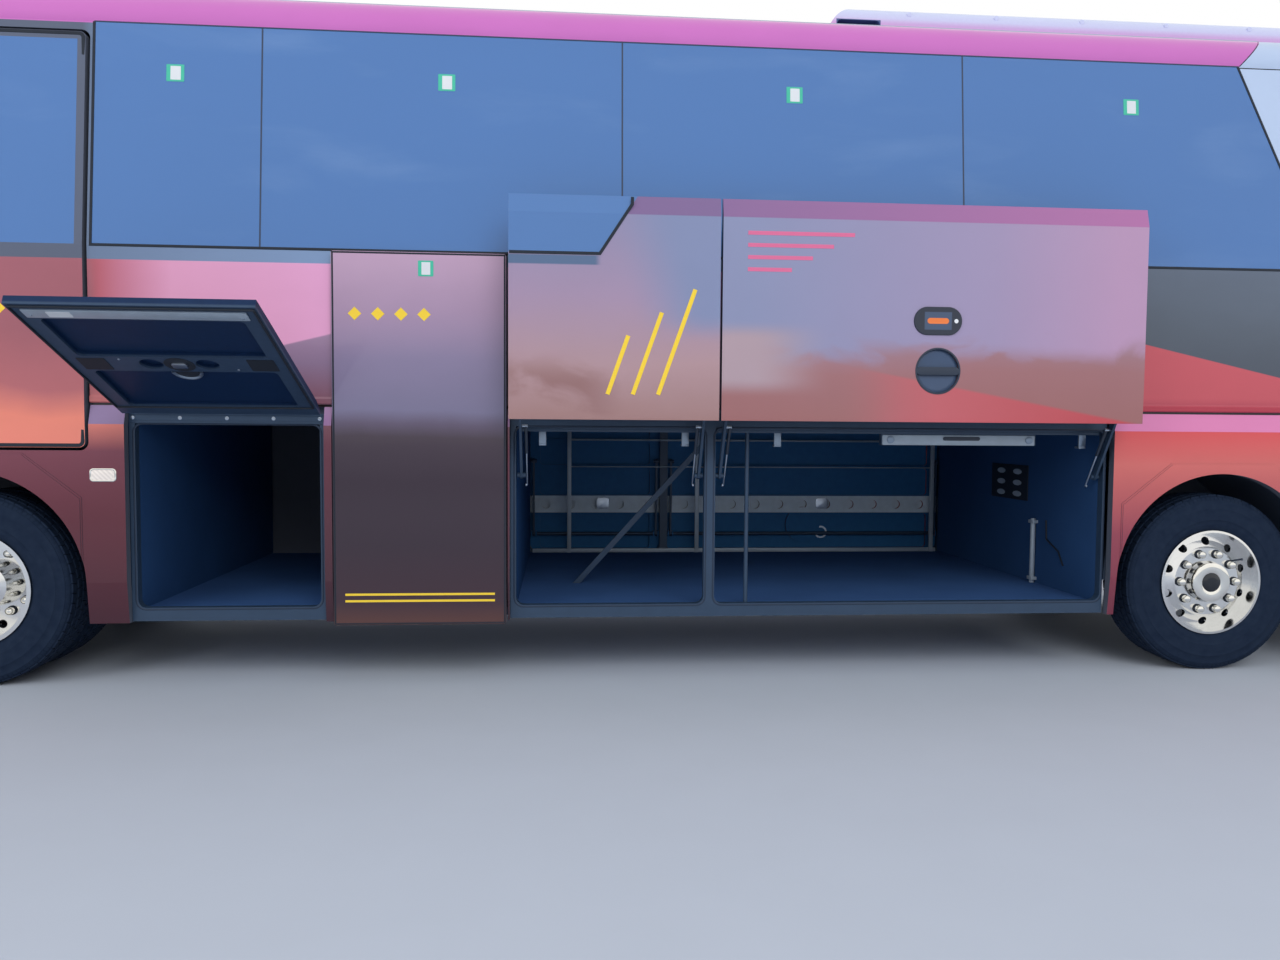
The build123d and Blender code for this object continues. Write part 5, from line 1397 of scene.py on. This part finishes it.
class COACH_OT_doors(bpy.types.Operator):
    """Add the seals, handles and marks of the doors"""

    bl_idname = "coach.doors"
    bl_label = "Door Trim"

    def execute(self, context):
        width = context.scene.coach_trim.seal_width
        carry = on_side(-1, DOOR_SKIN)
        flat = on_plane(-1, MID_DOOR_Y)
        high = rounded(-3.739, 1.279, -2.546, 3.409, 0.022)
        front = rounded(4.428, 0.368, 5.392, 3.072, 0.05)
        middle = [(-1.273, 0.333), (-0.377, 0.333), (-0.377, 2.298), (-1.273, 2.298)]
        for body, outline, surface, section in (
            ("high_door", high, carry, strip(width * 1.4, -0.010, 0.003)),
            ("front_door", front, carry, strip(width, -0.010, 0.003)),
            ("mid_door", middle, flat, strip(0.010, -0.006, 0.0015)),
        ):
            seal = Shape().trace(outline, surface, section, RIGHTWARD, True)
            piece(f"{body}_seal", seal, "trim_rubber", body)
        self.marks("mid_door_marks", "mid_door", flat, -1.16, 1.98, 4)
        self.marks("high_door_marks", "high_door", carry, -2.95, 1.98, 3)
        stripe = Shape()
        for z in (0.455, 0.490):
            stripe.trace([(-1.22, z), (-0.43, z)], flat, strip(0.012, 0.0, 0.0010), RIGHTWARD)
        piece("mid_door_stripes", stripe, "yellow_film", "mid_door")
        sign = Shape().plate(rounded(-0.830, 2.180, -0.750, 2.262, 0.004, 2), flat, 0.0, 0.0012)
        piece("mid_door_sign", sign, "green_film", "mid_door")
        panel = Shape().plate(rounded(-0.812, 2.188, -0.766, 2.254, 0.002, 2), flat, 0.0010, 0.0018)
        piece("mid_door_sign_panel", panel, "blank_plate", "mid_door")
        handle = Shape().plate(rounded(4.500, 1.290, 4.620, 1.420, 0.02, 4), carry, -0.002, 0.004)
        piece("front_door_handle_plate", handle, "dark_plastic", "front_door", 0.002)
        return {"FINISHED"}

    def marks(self, name, body, carry, x0, z, count):
        """A row of small diamonds."""
        shape = Shape()
        for k in range(count):
            x = x0 + 0.12 * k
            shape.plate([(x - 0.035, z), (x, z - 0.035), (x + 0.035, z), (x, z + 0.035)], carry, 0.0, 0.0010)
        piece(name, shape, "yellow_film", body)


class COACH_OT_flaps(bpy.types.Operator):
    """Dress the luggage flaps with seals, handle, stripes and struts"""

    bl_idname = "coach.flaps"
    bl_label = "Luggage Flaps"

    def execute(self, context):
        face = on_plane(-1, RAISED_Y)
        bars, strokes = Shape(), Shape()
        for k, length in enumerate((0.30, 0.42, 0.54)):
            x = 0.16 + 0.13 * k
            slant = [(x, 1.56), (x + length * 0.35, 1.56 + length)]
            bars.trace(slant, face, strip(0.022, 0.0, 0.0010), RIGHTWARD)
        piece("flap_one_bars", bars, "yellow_film", "flap_r1")
        for k in range(4):
            z = 2.395 - 0.062 * k
            strokes.trace([(0.88, z), (1.44 - 0.11 * k, z)], face, strip(0.020, 0.0, 0.0010), RIGHTWARD)
        piece("flap_two_strokes", strokes, "pink_film", "flap_r2")
        corner = [(-0.340, 2.272), (0.118, 2.272), (0.282, 2.524), (0.282, 2.560)]
        trim = Shape().trace(corner, face, strip(0.016, 0.0, 0.0014), RIGHTWARD)
        piece("flap_one_corner_trim", trim, "trim_rubber", "flap_r1")
        inner = on_plane(1, 0.040 - RAISED_Y)
        for tag, x0, x1, body in (("one", -0.341, 0.736, "flap_r1"), ("two", 0.754, 3.036, "flap_r2")):
            outline = rounded(x0 + 0.020, 1.450, x1 - 0.020, 2.540, 0.03)
            seal = Shape().trace(outline, inner, bead(0.007), LEFTWARD, True)
            piece(f"flap_{tag}_seal", seal, "trim_rubber", body)
        self.handle(face)
        self.struts()
        self.small_flap()
        return {"FINISHED"}

    def handle(self, face):
        """A dished round handle with facets and a level grip."""
        centre = Vector((1.899, -1.5245, 1.699))
        dish = ((0.000, 0.118), (0.003, 0.117), (0.006, 0.100), (0.003, 0.070), (0.002, 0.030))
        made = Shape().turned(dish, centre, RIGHTWARD, 14)
        piece("flap_two_handle_dish", made, "slate_plastic", "flap_r2", smooth=12.0)
        ring = ((-0.002, 0.123), (0.0015, 0.122), (0.0020, 0.114), (-0.002, 0.112))
        rim = Shape().turned(ring, centre - Vector((0, 0.0205, 0)), RIGHTWARD, 56, True)
        piece("flap_two_handle_ring", rim, "dark_plastic", "flap_r2")
        grip = Shape().plate(rounded(1.783, 1.678, 2.015, 1.720, 0.020, 5), face, -0.016, 0.002)
        piece("flap_two_grip", grip, "dark_plastic", "flap_r2", 0.002)

    def struts(self):
        """Gas struts beside the raised arms, down to their ball studs near the pivots."""
        for body, xs in (("arms_r1", (-0.262, 0.657)), ("arms_r2", (0.833, 2.957))):
            tubes, rods = Shape(), Shape()
            for x in xs:
                head, foot = Vector((x, -1.338, 1.396)), Vector((x, -1.141, 1.072))
                toward = 0.030 if x == xs[1] else -0.030
                tubes.rod(head, head.lerp(foot, 0.45), 0.009)
                rods.rod(head.lerp(foot, 0.44), foot, 0.005)
                rods.rod(head - Vector((toward * 0.3, 0, 0)), head + Vector((toward, 0, 0)), 0.008)
                rods.rod(foot, foot + Vector((toward * 0.3, 0, 0)), 0.009)
            piece(f"gas_struts_{body}", tubes, "dark_plastic", body, 0.001)
            piece(f"strut_rods_{body}", rods, "brushed_aluminium", body, 0.001)

    def small_flap(self):
        """The inner side of the raised small flap, and the rail over its bay."""
        carry = on_small_flap
        inward = carry(0, 0, 1) - carry(0, 0, 0)
        for name, outline, low, high, coat, bevel in (
            ("bar", rounded(-2.285, 0.385, -1.385, 0.452, 0.004, 2), 0.0, 0.006, "pale_steel", 0.001),
            ("blank_plate", rounded(-2.19, 0.398, -2.095, 0.44, 0.003, 2), 0.006, 0.008, "blank_plate", 0),
            ("latch_cup", LATCH_ARCH, -0.028, -0.006, "trim_rubber", 0),
            ("latch_disc", rounded(-1.903, 0.827, -1.767, 0.963, 0.068, 8), -0.002, 0.002, "trim_rubber", 0),
            ("latch", rounded(-1.868, 0.872, -1.8, 0.922, 0.012, 3), 0.001, 0.01, "brushed_aluminium", 0.002),
        ):
            plate = Shape().plate(outline, carry, low, high)
            piece(f"small_flap_{name}", plate, coat, "rear_flap", bevel)
        screws = Shape()
        head = ((0.0, 0.006), (0.003, 0.0055), (0.0045, 0.003))
        places = ((-2.262, 0.432, 0.006), (-1.410, 0.432, 0.006), (-2.085, 0.845, 0.0), (-1.585, 0.945, 0.0))
        for x, z, low in places:
            screws.turned(head, carry(x, z, low), inward, 12)
        piece("small_flap_screws", screws, "brushed_aluminium", "rear_flap")
        covers = Shape()
        for x in (-2.210, -1.460):
            covers.plate(rounded(x - 0.062, 0.836, x + 0.062, 0.954, 0.006, 2), carry, 0.0, 0.002)
        piece("small_flap_covers", covers, "trim_rubber", "rear_flap")
        arch = Shape().trace(LATCH_ARCH, carry, bead(0.008), inward, out=-0.006)
        piece("small_flap_latch_rim", arch, "galvanised", "rear_flap")
        outline = rounded(-2.322, 0.362, -1.348, 1.391, 0.004)
        rim = Shape().trace(outline, carry, bead(0.006), inward, True, 0.003)
        piece("small_flap_seal", rim, "trim_rubber", "rear_flap")
        rail = Shape()
        for z0, z1, out in ((1.398, 1.408, 0.006), (1.408, 1.442, 0.003), (1.442, 1.452, 0.007)):
            rail.block((-2.336, -MOUTH_Y - out, z0), (-1.334, -MOUTH_Y + 0.004, z1))
        piece("small_bay_hinge_rail", rail, "frame_steel", "root", 0.001)
        head = ((0.0, 0.010), (0.003, 0.010), (0.005, 0.006))
        bolts = Shape().turned(head, (-2.318, -MOUTH_Y - 0.002, 1.425), RIGHTWARD, 14)
        repeated("small_bay_bolts", bolts, "brushed_aluminium", "root", 5, step=(0.240, 0, 0))


class COACH_OT_bays(bpy.types.Operator):
    """Fit out the luggage bays with rubber edges, rails, vents and latches"""

    bl_idname = "coach.bays"
    bl_label = "Luggage Bays"

    def execute(self, context):
        self.edges()
        self.header()
        self.far_side()
        self.bulkhead()
        self.side_lamps()
        return {"FINISHED"}

    def edges(self):
        """Rubber round every mouth, on both sides."""
        for tag, side, mouths in (("right", -1, MOUTHS + (SMALL_MOUTH,)), ("left", 1, MOUTHS)):
            carry = on_plane(side, MOUTH_Y - 0.005)
            shape = Shape()
            for x0, x1 in mouths:
                outline = rounded(x0 - 0.009, SILL_LIP_Z - 0.009, x1 + 0.009, HEADER_Z, 0.050)
                shape.trace(outline, carry, bead(0.007), (0, side, 0), True)
            piece(f"bay_edge_rubber_{tag}", shape, "mouth_rubber")

    def header(self):
        """The rail over the mouths with its brackets, and the loading lamp's cover."""
        rail = Shape()
        for z0, z1, y in ((1.383, 1.395, 1.214), (1.366, 1.383, 1.206)):
            rail.block((-0.300, -y, z0), (2.995, -y + 0.030, z1))
        piece("bay_header_rail", rail, "frame_steel", "root", 0.001)
        hooks = Shape()
        for x in (-0.177, 0.609, 1.128, 2.900):
            hooks.block((x - 0.020, -1.195, 1.290), (x + 0.020, -1.183, 1.372))
            hooks.block((x - 0.020, -1.195, 1.290), (x + 0.020, -1.150, 1.302))
        piece("bay_brackets", hooks, "galvanised", "root", 0.002)
        face = on_plane(-1, 1.175)
        cover = Shape().plate(rounded(1.733, 1.304, 2.625, 1.360, 0.006, 3), face, -0.002, 0.003)
        piece("bay_lamp_cover", cover, "pale_steel", "root", 0.001)
        grip = Shape().plate(rounded(2.085, 1.330, 2.300, 1.352, 0.010, 4), face, 0.002, 0.010)
        piece("bay_lamp_handle", grip, "dark_plastic", "root", 0.002)
        knobs = Shape()
        knob = ((0.0, 0.022), (0.006, 0.021), (0.008, 0.012))
        for x in (1.780, 2.592):
            knobs.turned(knob, face(x, 1.334, 0.002), RIGHTWARD, 20)
        piece("bay_lamp_screws", knobs, "galvanised")

    def far_side(self):
        """Posts and rails before the left flaps, and the latches on them."""
        bars = Shape()
        for x in (-0.011, 1.010, 2.946):
            bars.block((x - 0.016, 1.136, BAY_FLOOR_Z), (x + 0.016, 1.156, CABIN_Z - 0.060))
        for z, r in ((1.085, 0.005), (1.298, 0.008)):
            bars.rod((-0.011, 1.142, z), (2.946, 1.142, z), r)
        bars.block((-0.300, 1.150, BAY_FLOOR_Z), (2.990, 1.171, 0.430))
        piece("far_rails", bars, "pale_steel", "root", 0.001)
        for body, x in (("flap_l1", 0.258), ("flap_l2", 2.053)):
            plate = rounded(x - 0.050, 0.745, x + 0.050, 0.832, 0.020, 4)
            latch = Shape().plate(plate, on_plane(-1, -FLAP_INNER_Y), -0.002, 0.012)
            piece(f"far_latch_{body}", latch, "brushed_aluminium", body, 0.003)
        ring = ((-0.002, 0.052), (0.010, 0.050), (0.010, 0.038), (-0.002, 0.038))
        turned = Shape().turned(ring, (2.057, 1.261, 0.549), RIGHTWARD, 32, True)
        piece("far_handle_ring", turned, "brushed_aluminium", "flap_l2")

    def bulkhead(self):
        """Vents, a pipe and a conduit on the wall before the front axle."""
        vents = Shape()
        spin = [2 * math.pi * k / 20 for k in range(20)]
        for y in (0.035, -0.200):
            for z in (0.965, 1.040, 1.115):
                ring = [Vector((BULKHEAD_X, y - 0.058 * math.cos(a), z + 0.019 * math.sin(a))) for a in spin]
                vents.loft([ring, [p - Vector((0.009, 0, 0)) for p in ring]])
        piece("bulkhead_vents", vents, "pale_steel", "root", 0.002)
        panel = Shape().block((BULKHEAD_X - 0.005, -0.345, 0.925), (BULKHEAD_X + 0.001, 0.185, 1.160))
        piece("bulkhead_panel", panel, "trim_rubber", "root", 0.001)
        pipe_x = BULKHEAD_X - 0.018
        pipe = Shape().rod((pipe_x, -0.460, BAY_FLOOR_Z), (pipe_x, -0.460, 0.820), 0.016, 16)
        for z in (0.430, 0.800):
            pipe.block((pipe_x - 0.018, -0.490, z - 0.010), (BULKHEAD_X + 0.001, -0.430, z + 0.010))
        piece("bulkhead_pipe", pipe, "pale_steel", "root", 0.001)
        route = ((-0.600, 0.820), (-0.610, 0.700), (-0.760, 0.640), (-0.820, 0.560))
        conduit = Shape().sweep([(BULKHEAD_X - 0.004, y, z) for y, z in route], bead(0.006), (1, 0, 0))
        piece("bulkhead_conduit", conduit, "trim_rubber")

    def side_lamps(self):
        """The pale lens with a bright bezel ahead of each rear wheel."""
        x, z = -2.450, 1.125
        for tag, side in SIDES:
            carry = on_side(side)
            rim = rounded(x - 0.062, z - 0.030, x + 0.062, z + 0.030, 0.014)
            bezel = Shape().trace(rim, carry, bead(0.006), (0, side, 0), True)
            piece(f"side_lamp_bezel_{tag}", bezel, "chrome")
            face = rounded(x - 0.058, z - 0.026, x + 0.058, z + 0.026, 0.012)
            lens = Shape().plate(face, carry, -0.002, 0.005)
            piece(f"side_lamp_lens_{tag}", lens, "marker_lens", "root", 0.0015)


class COACH_OT_cab(bpy.types.Operator):
    """Fit the mirror glasses and the cowl before the steering wheel"""

    bl_idname = "coach.cab"
    bl_label = "Cab and Mirrors"

    def execute(self, context):
        for tag, side in SIDES:
            glass = Shape()
            for z0, z1 in ((2.600, 2.865), (2.885, 3.025)):
                outline = rounded(-0.085, z0, 0.085, z1, 0.025)
                ring = [Vector((6.561, side * (1.325 + a), b)) for a, b in outline]
                glass.loft([ring, [p - Vector((0.003, 0, 0)) for p in ring]])
            piece(f"mirror_glass_{tag}", glass, "mirror_glass")
        rings = []
        rows = ((5.46, 0.20, 1.400), (5.52, 0.24, 1.455), (5.66, 0.26, 1.480), (5.80, 0.24, 1.400))
        for x, half, high in rows:
            outline = rounded(-half, 1.290, half, high, 0.012)
            rings.append([Vector((x, DRIVER_Y + a, b)) for a, b in outline])
        piece("dashboard_cowl", Shape().loft(rings), "dark_plastic")
        return {"FINISHED"}


class COACH_OT_seats(bpy.types.Operator):
    """Upholster the passenger seats and the driver's seat"""

    bl_idname = "coach.seats"
    bl_label = "Seats"

    def execute(self, context):
        cap = context.scene.coach_seats.seat_swell
        pan = stuffed("seat_pan", pan_form(0.405, 0.385, 0.100), 0.014, cap, 900)
        back = stuffed("seat_back", back_form(0.390, 0.680, 0.070), 0.014, cap, 1300)
        for tag, side, skip in (("right", -1, (5, 6)), ("left", 1, ())):
            rows = [row for row in range(SEAT_ROWS) if row not in skip]
            for row in rows:
                self.pair(tag, side, row, pan, back)
            self.frames(tag, side, rows)
        self.driver(cap)
        return {"FINISHED"}

    def pair(self, tag, side, row, pan, back):
        """Two cushions and two backs of one double seat."""
        x = SEAT_REAR_X + SEAT_PITCH * row
        work = bmesh.new()
        for y in SEAT_YS:
            lean = Matrix.Rotation(math.radians(-10.5), 4, "Y")
            for mesh, place in (
                (pan, Matrix.Translation((x + 0.232, side * y, 1.885))),
                (back, Matrix.Translation((x - 0.028, side * y, 2.262)) @ lean),
            ):
                first = len(work.verts)
                work.from_mesh(mesh)
                work.verts.ensure_lookup_table()
                bmesh.ops.transform(work, matrix=place, verts=work.verts[first:])
        mesh = bpy.data.meshes.new("form")
        work.to_mesh(mesh)
        work.free()
        cushions = placed(f"cushions_{tag}_{row + 1:02d}", mesh, "seat_fabric", "root", 60.0, "seat_cloth")
        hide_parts(f"seats_{tag}")

    def frames(self, tag, side, rows):
        """Floor rails, legs, pan boards, back shells and armrests."""
        rails, shells = Shape(), Shape()
        rear_x = SEAT_REAR_X - 0.200
        front_x = SEAT_REAR_X + SEAT_PITCH * SEAT_ROWS
        for y in SEAT_RAIL_YS:
            runs = [(rear_x, front_x)]
            if side < 0 and y > 0.56:
                runs = [(rear_x, -1.320), (-0.330, front_x)]
            for x0, x1 in runs:
                rails.beam(x0, x1, side * y, 0.018, CABIN_Z, CABIN_Z + 0.022)
        for row in rows:
            x = SEAT_REAR_X + SEAT_PITCH * row
            for y in SEAT_RAIL_YS:
                rails.beam(x + 0.120, x + 0.300, side * y, 0.020, CABIN_Z + 0.020, CABIN_Z + 0.040)
                rails.beam(x + 0.180, x + 0.240, side * y, 0.016, CABIN_Z + 0.040, PAN_Z)
            arm = side * (SEAT_YS[0] - 0.205)
            near, far = sorted((arm, side * (SEAT_YS[1] + 0.205)))
            shells.block((x + 0.020, near, PAN_Z - 0.002), (x + 0.430, far, PAN_Z + 0.012))
            shells.beam(x - 0.010, x + 0.330, arm, 0.010, 2.050, 2.085)
            for y in SEAT_YS:
                shells.loft([self.shell_ring(x + back, side * y, half, z) for z, back, half in SHELL_ROWS])
        frame_piece = piece(f"seat_frames_{tag}", rails, "chassis_black", slot="seat_cloth")
        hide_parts(f"seats_{tag}")
        shell_piece = piece(f"seat_shells_{tag}", shells, "seat_shell", slot="seat_cloth")
        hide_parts(f"seats_{tag}")

    def shell_ring(self, x, y, half, z):
        """One level section of a back shell, a little narrower behind."""
        narrow = half * 0.92
        corners = ((x, y - half), (x, y + half), (x - 0.018, y + narrow), (x - 0.018, y - narrow))
        return [Vector((a, b, z)) for a, b in corners]

    def driver(self, cap):
        """The driver's cushion and backrest on a bellows base."""
        pan = stuffed("driver_pan", pan_form(0.440, 0.420, 0.088), 0.010, cap, 2600)
        back = stuffed("driver_back", back_form(0.440, 0.770, 0.078), 0.010, cap, 3200)
        lean = Matrix.Rotation(math.radians(-2.0), 4, "Y")
        for name, mesh, place in (
            ("driver_cushion", pan, Matrix.Translation((4.838, DRIVER_Y, 1.392))),
            ("driver_backrest", back, Matrix.Translation((4.565, DRIVER_Y, 1.730)) @ lean),
        ):
            mesh.transform(place)
            made = placed(name, mesh, "seat_fabric", "root", 60.0, "seat_cloth")
            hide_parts("driver_seat")
        base = Shape().beam(4.700, 4.950, DRIVER_Y, 0.120, DRIVER_Z, DRIVER_Z + 0.060)
        base.beam(4.610, 5.010, DRIVER_Y, 0.160, 1.300, 1.345)
        for k in range(5):
            z = DRIVER_Z + 0.060 + 0.058 * k
            inset = 0.004 if k % 2 else 0.012
            base.beam(4.700 + inset, 4.950 - inset, DRIVER_Y, 0.120 - inset, z, z + 0.058)
        post = piece("driver_seat_base", base, "dark_plastic", "root", 0.003, slot="seat_cloth")
        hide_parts("driver_seat")


def pan_form(width, depth, height):
    """A seat cushion's block before it is stuffed, about its own middle."""
    rings = []
    for part, ease in ((-0.50, 0.026), (-0.25, 0.004), (0.25, 0.004), (0.50, 0.026)):
        w, d = width / 2 - ease, depth / 2 - ease
        rings.append([Vector((x, y, part * height)) for x, y in rounded(-d, -w, d, w, 0.04)])
    return Shape().loft(rings)


def back_form(width, height, depth):
    """A backrest with a waist and a narrower headrest, about its own middle."""
    rings = []
    for at, wide, thick in (
        (-0.50, 0.80, 0.80), (-0.44, 0.96, 1.00), (-0.10, 1.00, 0.94), (0.16, 0.94, 0.82),
        (0.24, 0.72, 0.70), (0.30, 0.70, 0.84), (0.44, 0.68, 0.90), (0.50, 0.54, 0.62),
    ):
        w, t = width / 2 * wide, depth / 2 * thick
        rings.append([Vector((x, y, at * height)) for x, y in rounded(-t, -w, t, w, t * 0.7)])
    return Shape().loft(rings)


def stuffed(name, shape, voxel, cap, faces):
    """A padded form, blown up by cloth simulation, held back to a cap and made lighter."""
    pad = bpy.data.objects.new(name + "_pad", built(shape))
    scene = bpy.context.scene
    scene.collection.objects.link(pad)
    remesh = pad.modifiers.new("Remesh", "REMESH")
    remesh.mode = "VOXEL"
    remesh.voxel_size = voxel
    settle(pad)
    rest = [v.co.copy() for v in pad.data.vertices]
    cloth = pad.modifiers.new("Cloth", "CLOTH")
    cloth.settings.quality = 4
    cloth.settings.use_pressure = True
    cloth.settings.uniform_pressure_force = 4.0
    cloth.settings.effector_weights.gravity = 0.0
    cloth.point_cache.frame_start = 1
    cloth.point_cache.frame_end = 20
    for moment in range(1, 21):
        scene.frame_set(moment)
    settle(pad)
    scene.frame_set(1)
    for vertex, start in zip(pad.data.vertices, rest):
        moved = vertex.co - start
        if moved.length > cap:
            vertex.co = start + moved * (cap / moved.length)
    lighter = pad.modifiers.new("Lighter", "DECIMATE")
    lighter.ratio = min(1.0, faces / (2 * len(pad.data.polygons)))
    settle(pad)
    mesh = pad.data
    bpy.data.objects.remove(pad)
    return mesh


def settle(pad):
    """Turns an object's modifiers into its mesh."""
    graph = bpy.context.evaluated_depsgraph_get()
    mesh = bpy.data.meshes.new_from_object(pad.evaluated_get(graph))
    pad.modifiers.clear()
    pad.data = mesh


OPERATORS = (
    COACH_OT_stage,
    COACH_OT_finishes,
    COACH_OT_tyres,
    COACH_OT_wheels,
    COACH_OT_glazing,
    COACH_OT_doors,
    COACH_OT_flaps,
    COACH_OT_bays,
    COACH_OT_cab,
    COACH_OT_seats,
)


class COACH_PT_panel(bpy.types.Panel):
    """The coach's pieces, in the order they are made"""

    bl_idname = "COACH_PT_panel"
    bl_label = "Coach"
    bl_space_type = "VIEW_3D"
    bl_region_type = "UI"
    bl_category = "Coach"

    def draw(self, context):
        scene = context.scene
        for sizes in (scene.coach_wheels, scene.coach_trim, scene.coach_seats):
            for name in sizes.__annotations__:
                self.layout.prop(sizes, name)
        for made in OPERATORS:
            self.layout.operator(made.bl_idname)


CLASSES = (CoachWheelSizes, CoachTrimSizes, CoachSeatSizes, *OPERATORS, COACH_PT_panel)


def register():
    for made in CLASSES:
        bpy.utils.register_class(made)
    bpy.types.Scene.coach_wheels = bpy.props.PointerProperty(type=CoachWheelSizes)
    bpy.types.Scene.coach_trim = bpy.props.PointerProperty(type=CoachTrimSizes)
    bpy.types.Scene.coach_seats = bpy.props.PointerProperty(type=CoachSeatSizes)


def unregister():
    del bpy.types.Scene.coach_seats
    del bpy.types.Scene.coach_trim
    del bpy.types.Scene.coach_wheels
    for made in reversed(CLASSES):
        bpy.utils.unregister_class(made)


def main():
    register()
    bpy.ops.coach.stage()
    bpy.ops.coach.finishes()
    bpy.ops.coach.tyres()
    bpy.ops.coach.wheels()
    bpy.ops.coach.glazing()
    bpy.ops.coach.doors()
    bpy.ops.coach.flaps()
    bpy.ops.coach.bays()
    bpy.ops.coach.cab()
    bpy.ops.coach.seats()


if __name__ == "__main__":
    main()
